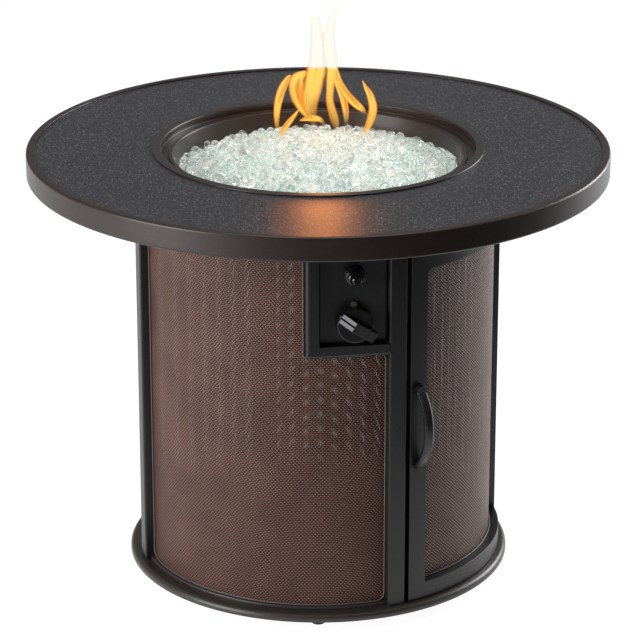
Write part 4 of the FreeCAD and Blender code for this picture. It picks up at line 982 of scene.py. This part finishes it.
for name, y, line in (
    (
        "left_curl",
        0.100,
        [(-57.8, 604.0, 4.5), (-59.2, 624.6, 6.5), (-59.1, 638.7, 8.6), (-57.2, 653.4, 10.2),
         (-53.1, 669.3, 10.8), (-48.4, 680.2, 9.9), (-43.3, 689.4, 6.6), (-38.9, 694.2, 2.0)],
    ),
    (
        "body",
        0.100,
        [(-5.0, 616.0, 5.0), (-7.5, 630.1, 10.0), (-10.8, 643.6, 17.0), (-12.0, 658.3, 22.5),
         (-8.6, 674.1, 24.5), (-5.7, 690.0, 25.0), (-3.0, 702.1, 25.0), (-2.1, 714.3, 22.3),
         (-1.6, 726.4, 20.5), (-1.8, 738.4, 19.0), (-2.2, 750.5, 17.5), (-3.3, 762.5, 15.2),
         (-3.6, 772.5, 13.0), (-4.0, 778.0, 9.5), (-4.3, 781.0, 4.0)],
    ),
    (
        "lobe",
        0.112,
        [(-6.0, 618.0, 4.0), (-14.6, 630.3, 8.0), (-21.7, 642.6, 14.2), (-28.7, 658.5, 18.5),
         (-31.1, 674.4, 19.5), (-30.0, 684.2, 17.7), (-25.5, 690.0, 12.6), (-17.2, 695.7, 4.5)],
    ),
    (
        "tall",
        0.096,
        [(27.5, 606.0, 4.0), (26.2, 617.8, 7.0), (23.2, 630.1, 11.5), (19.0, 644.8, 11.0),
         (16.1, 659.4, 9.8), (16.6, 674.1, 10.2), (17.2, 688.7, 11.2), (19.0, 703.2, 13.4),
         (19.0, 715.3, 17.5), (16.8, 727.4, 17.5), (15.0, 739.5, 17.0), (14.6, 751.6, 15.0),
         (16.9, 763.6, 12.7), (19.5, 775.6, 10.5), (23.0, 789.0, 6.5), (27.5, 803.0, 1.0)],
    ),
    (
        "strand",
        0.108,
        [(39.8, 618.1, 4.9), (39.2, 637.4, 8.3), (35.7, 656.6, 9.6), (30.1, 675.8, 10.8),
         (25.2, 691.7, 10.1), (22.7, 707.6, 6.1)],
    ),
    (
        "outflow",
        0.104,
        [(69.1, 635.6, 1.9), (61.3, 643.7, 8.6), (50.5, 653.3, 10.5), (40.6, 664.4, 10.0),
         (33.2, 677.2, 8.0), (27.6, 693.1, 2.5)],
    ),
    (
        "right_curl",
        0.095,
        [(58.3, 603.4, 3.0), (67.6, 614.6, 7.4), (74.6, 630.7, 10.5), (77.5, 648.3, 11.2),
         (73.4, 665.9, 9.2), (67.5, 677.0, 5.5), (62.6, 687.6, 0.9)],
    ),
    (
        "small_left",
        0.085,
        [(-54.9, 604.8, 2.5), (-50.6, 616.0, 6.8), (-41.9, 628.8, 7.4), (-34.5, 638.4, 5.5),
         (-27.1, 648.4, 0.9)],
    ),
    (
        "flicker",
        0.100,
        [(9.4, 622.0, 3.1), (1.2, 629.2, 7.3), (-9.6, 630.9, 8.3), (-19.0, 629.6, 5.8),
         (-26.6, 627.3, 1.2)],
    ),
):
    flame_tongue(f"flame_{name}", line, y)

warm = bpy.data.lights.new("flame_light", "POINT")
warm.energy, warm.color, warm.shadow_soft_size = 0.25, (1.0, 0.45, 0.16), 0.03
lamp = bpy.data.objects.new("flame_light", warm)
lamp.location = (0.01, 0.09, 0.67)
bpy.context.scene.collection.objects.link(lamp)
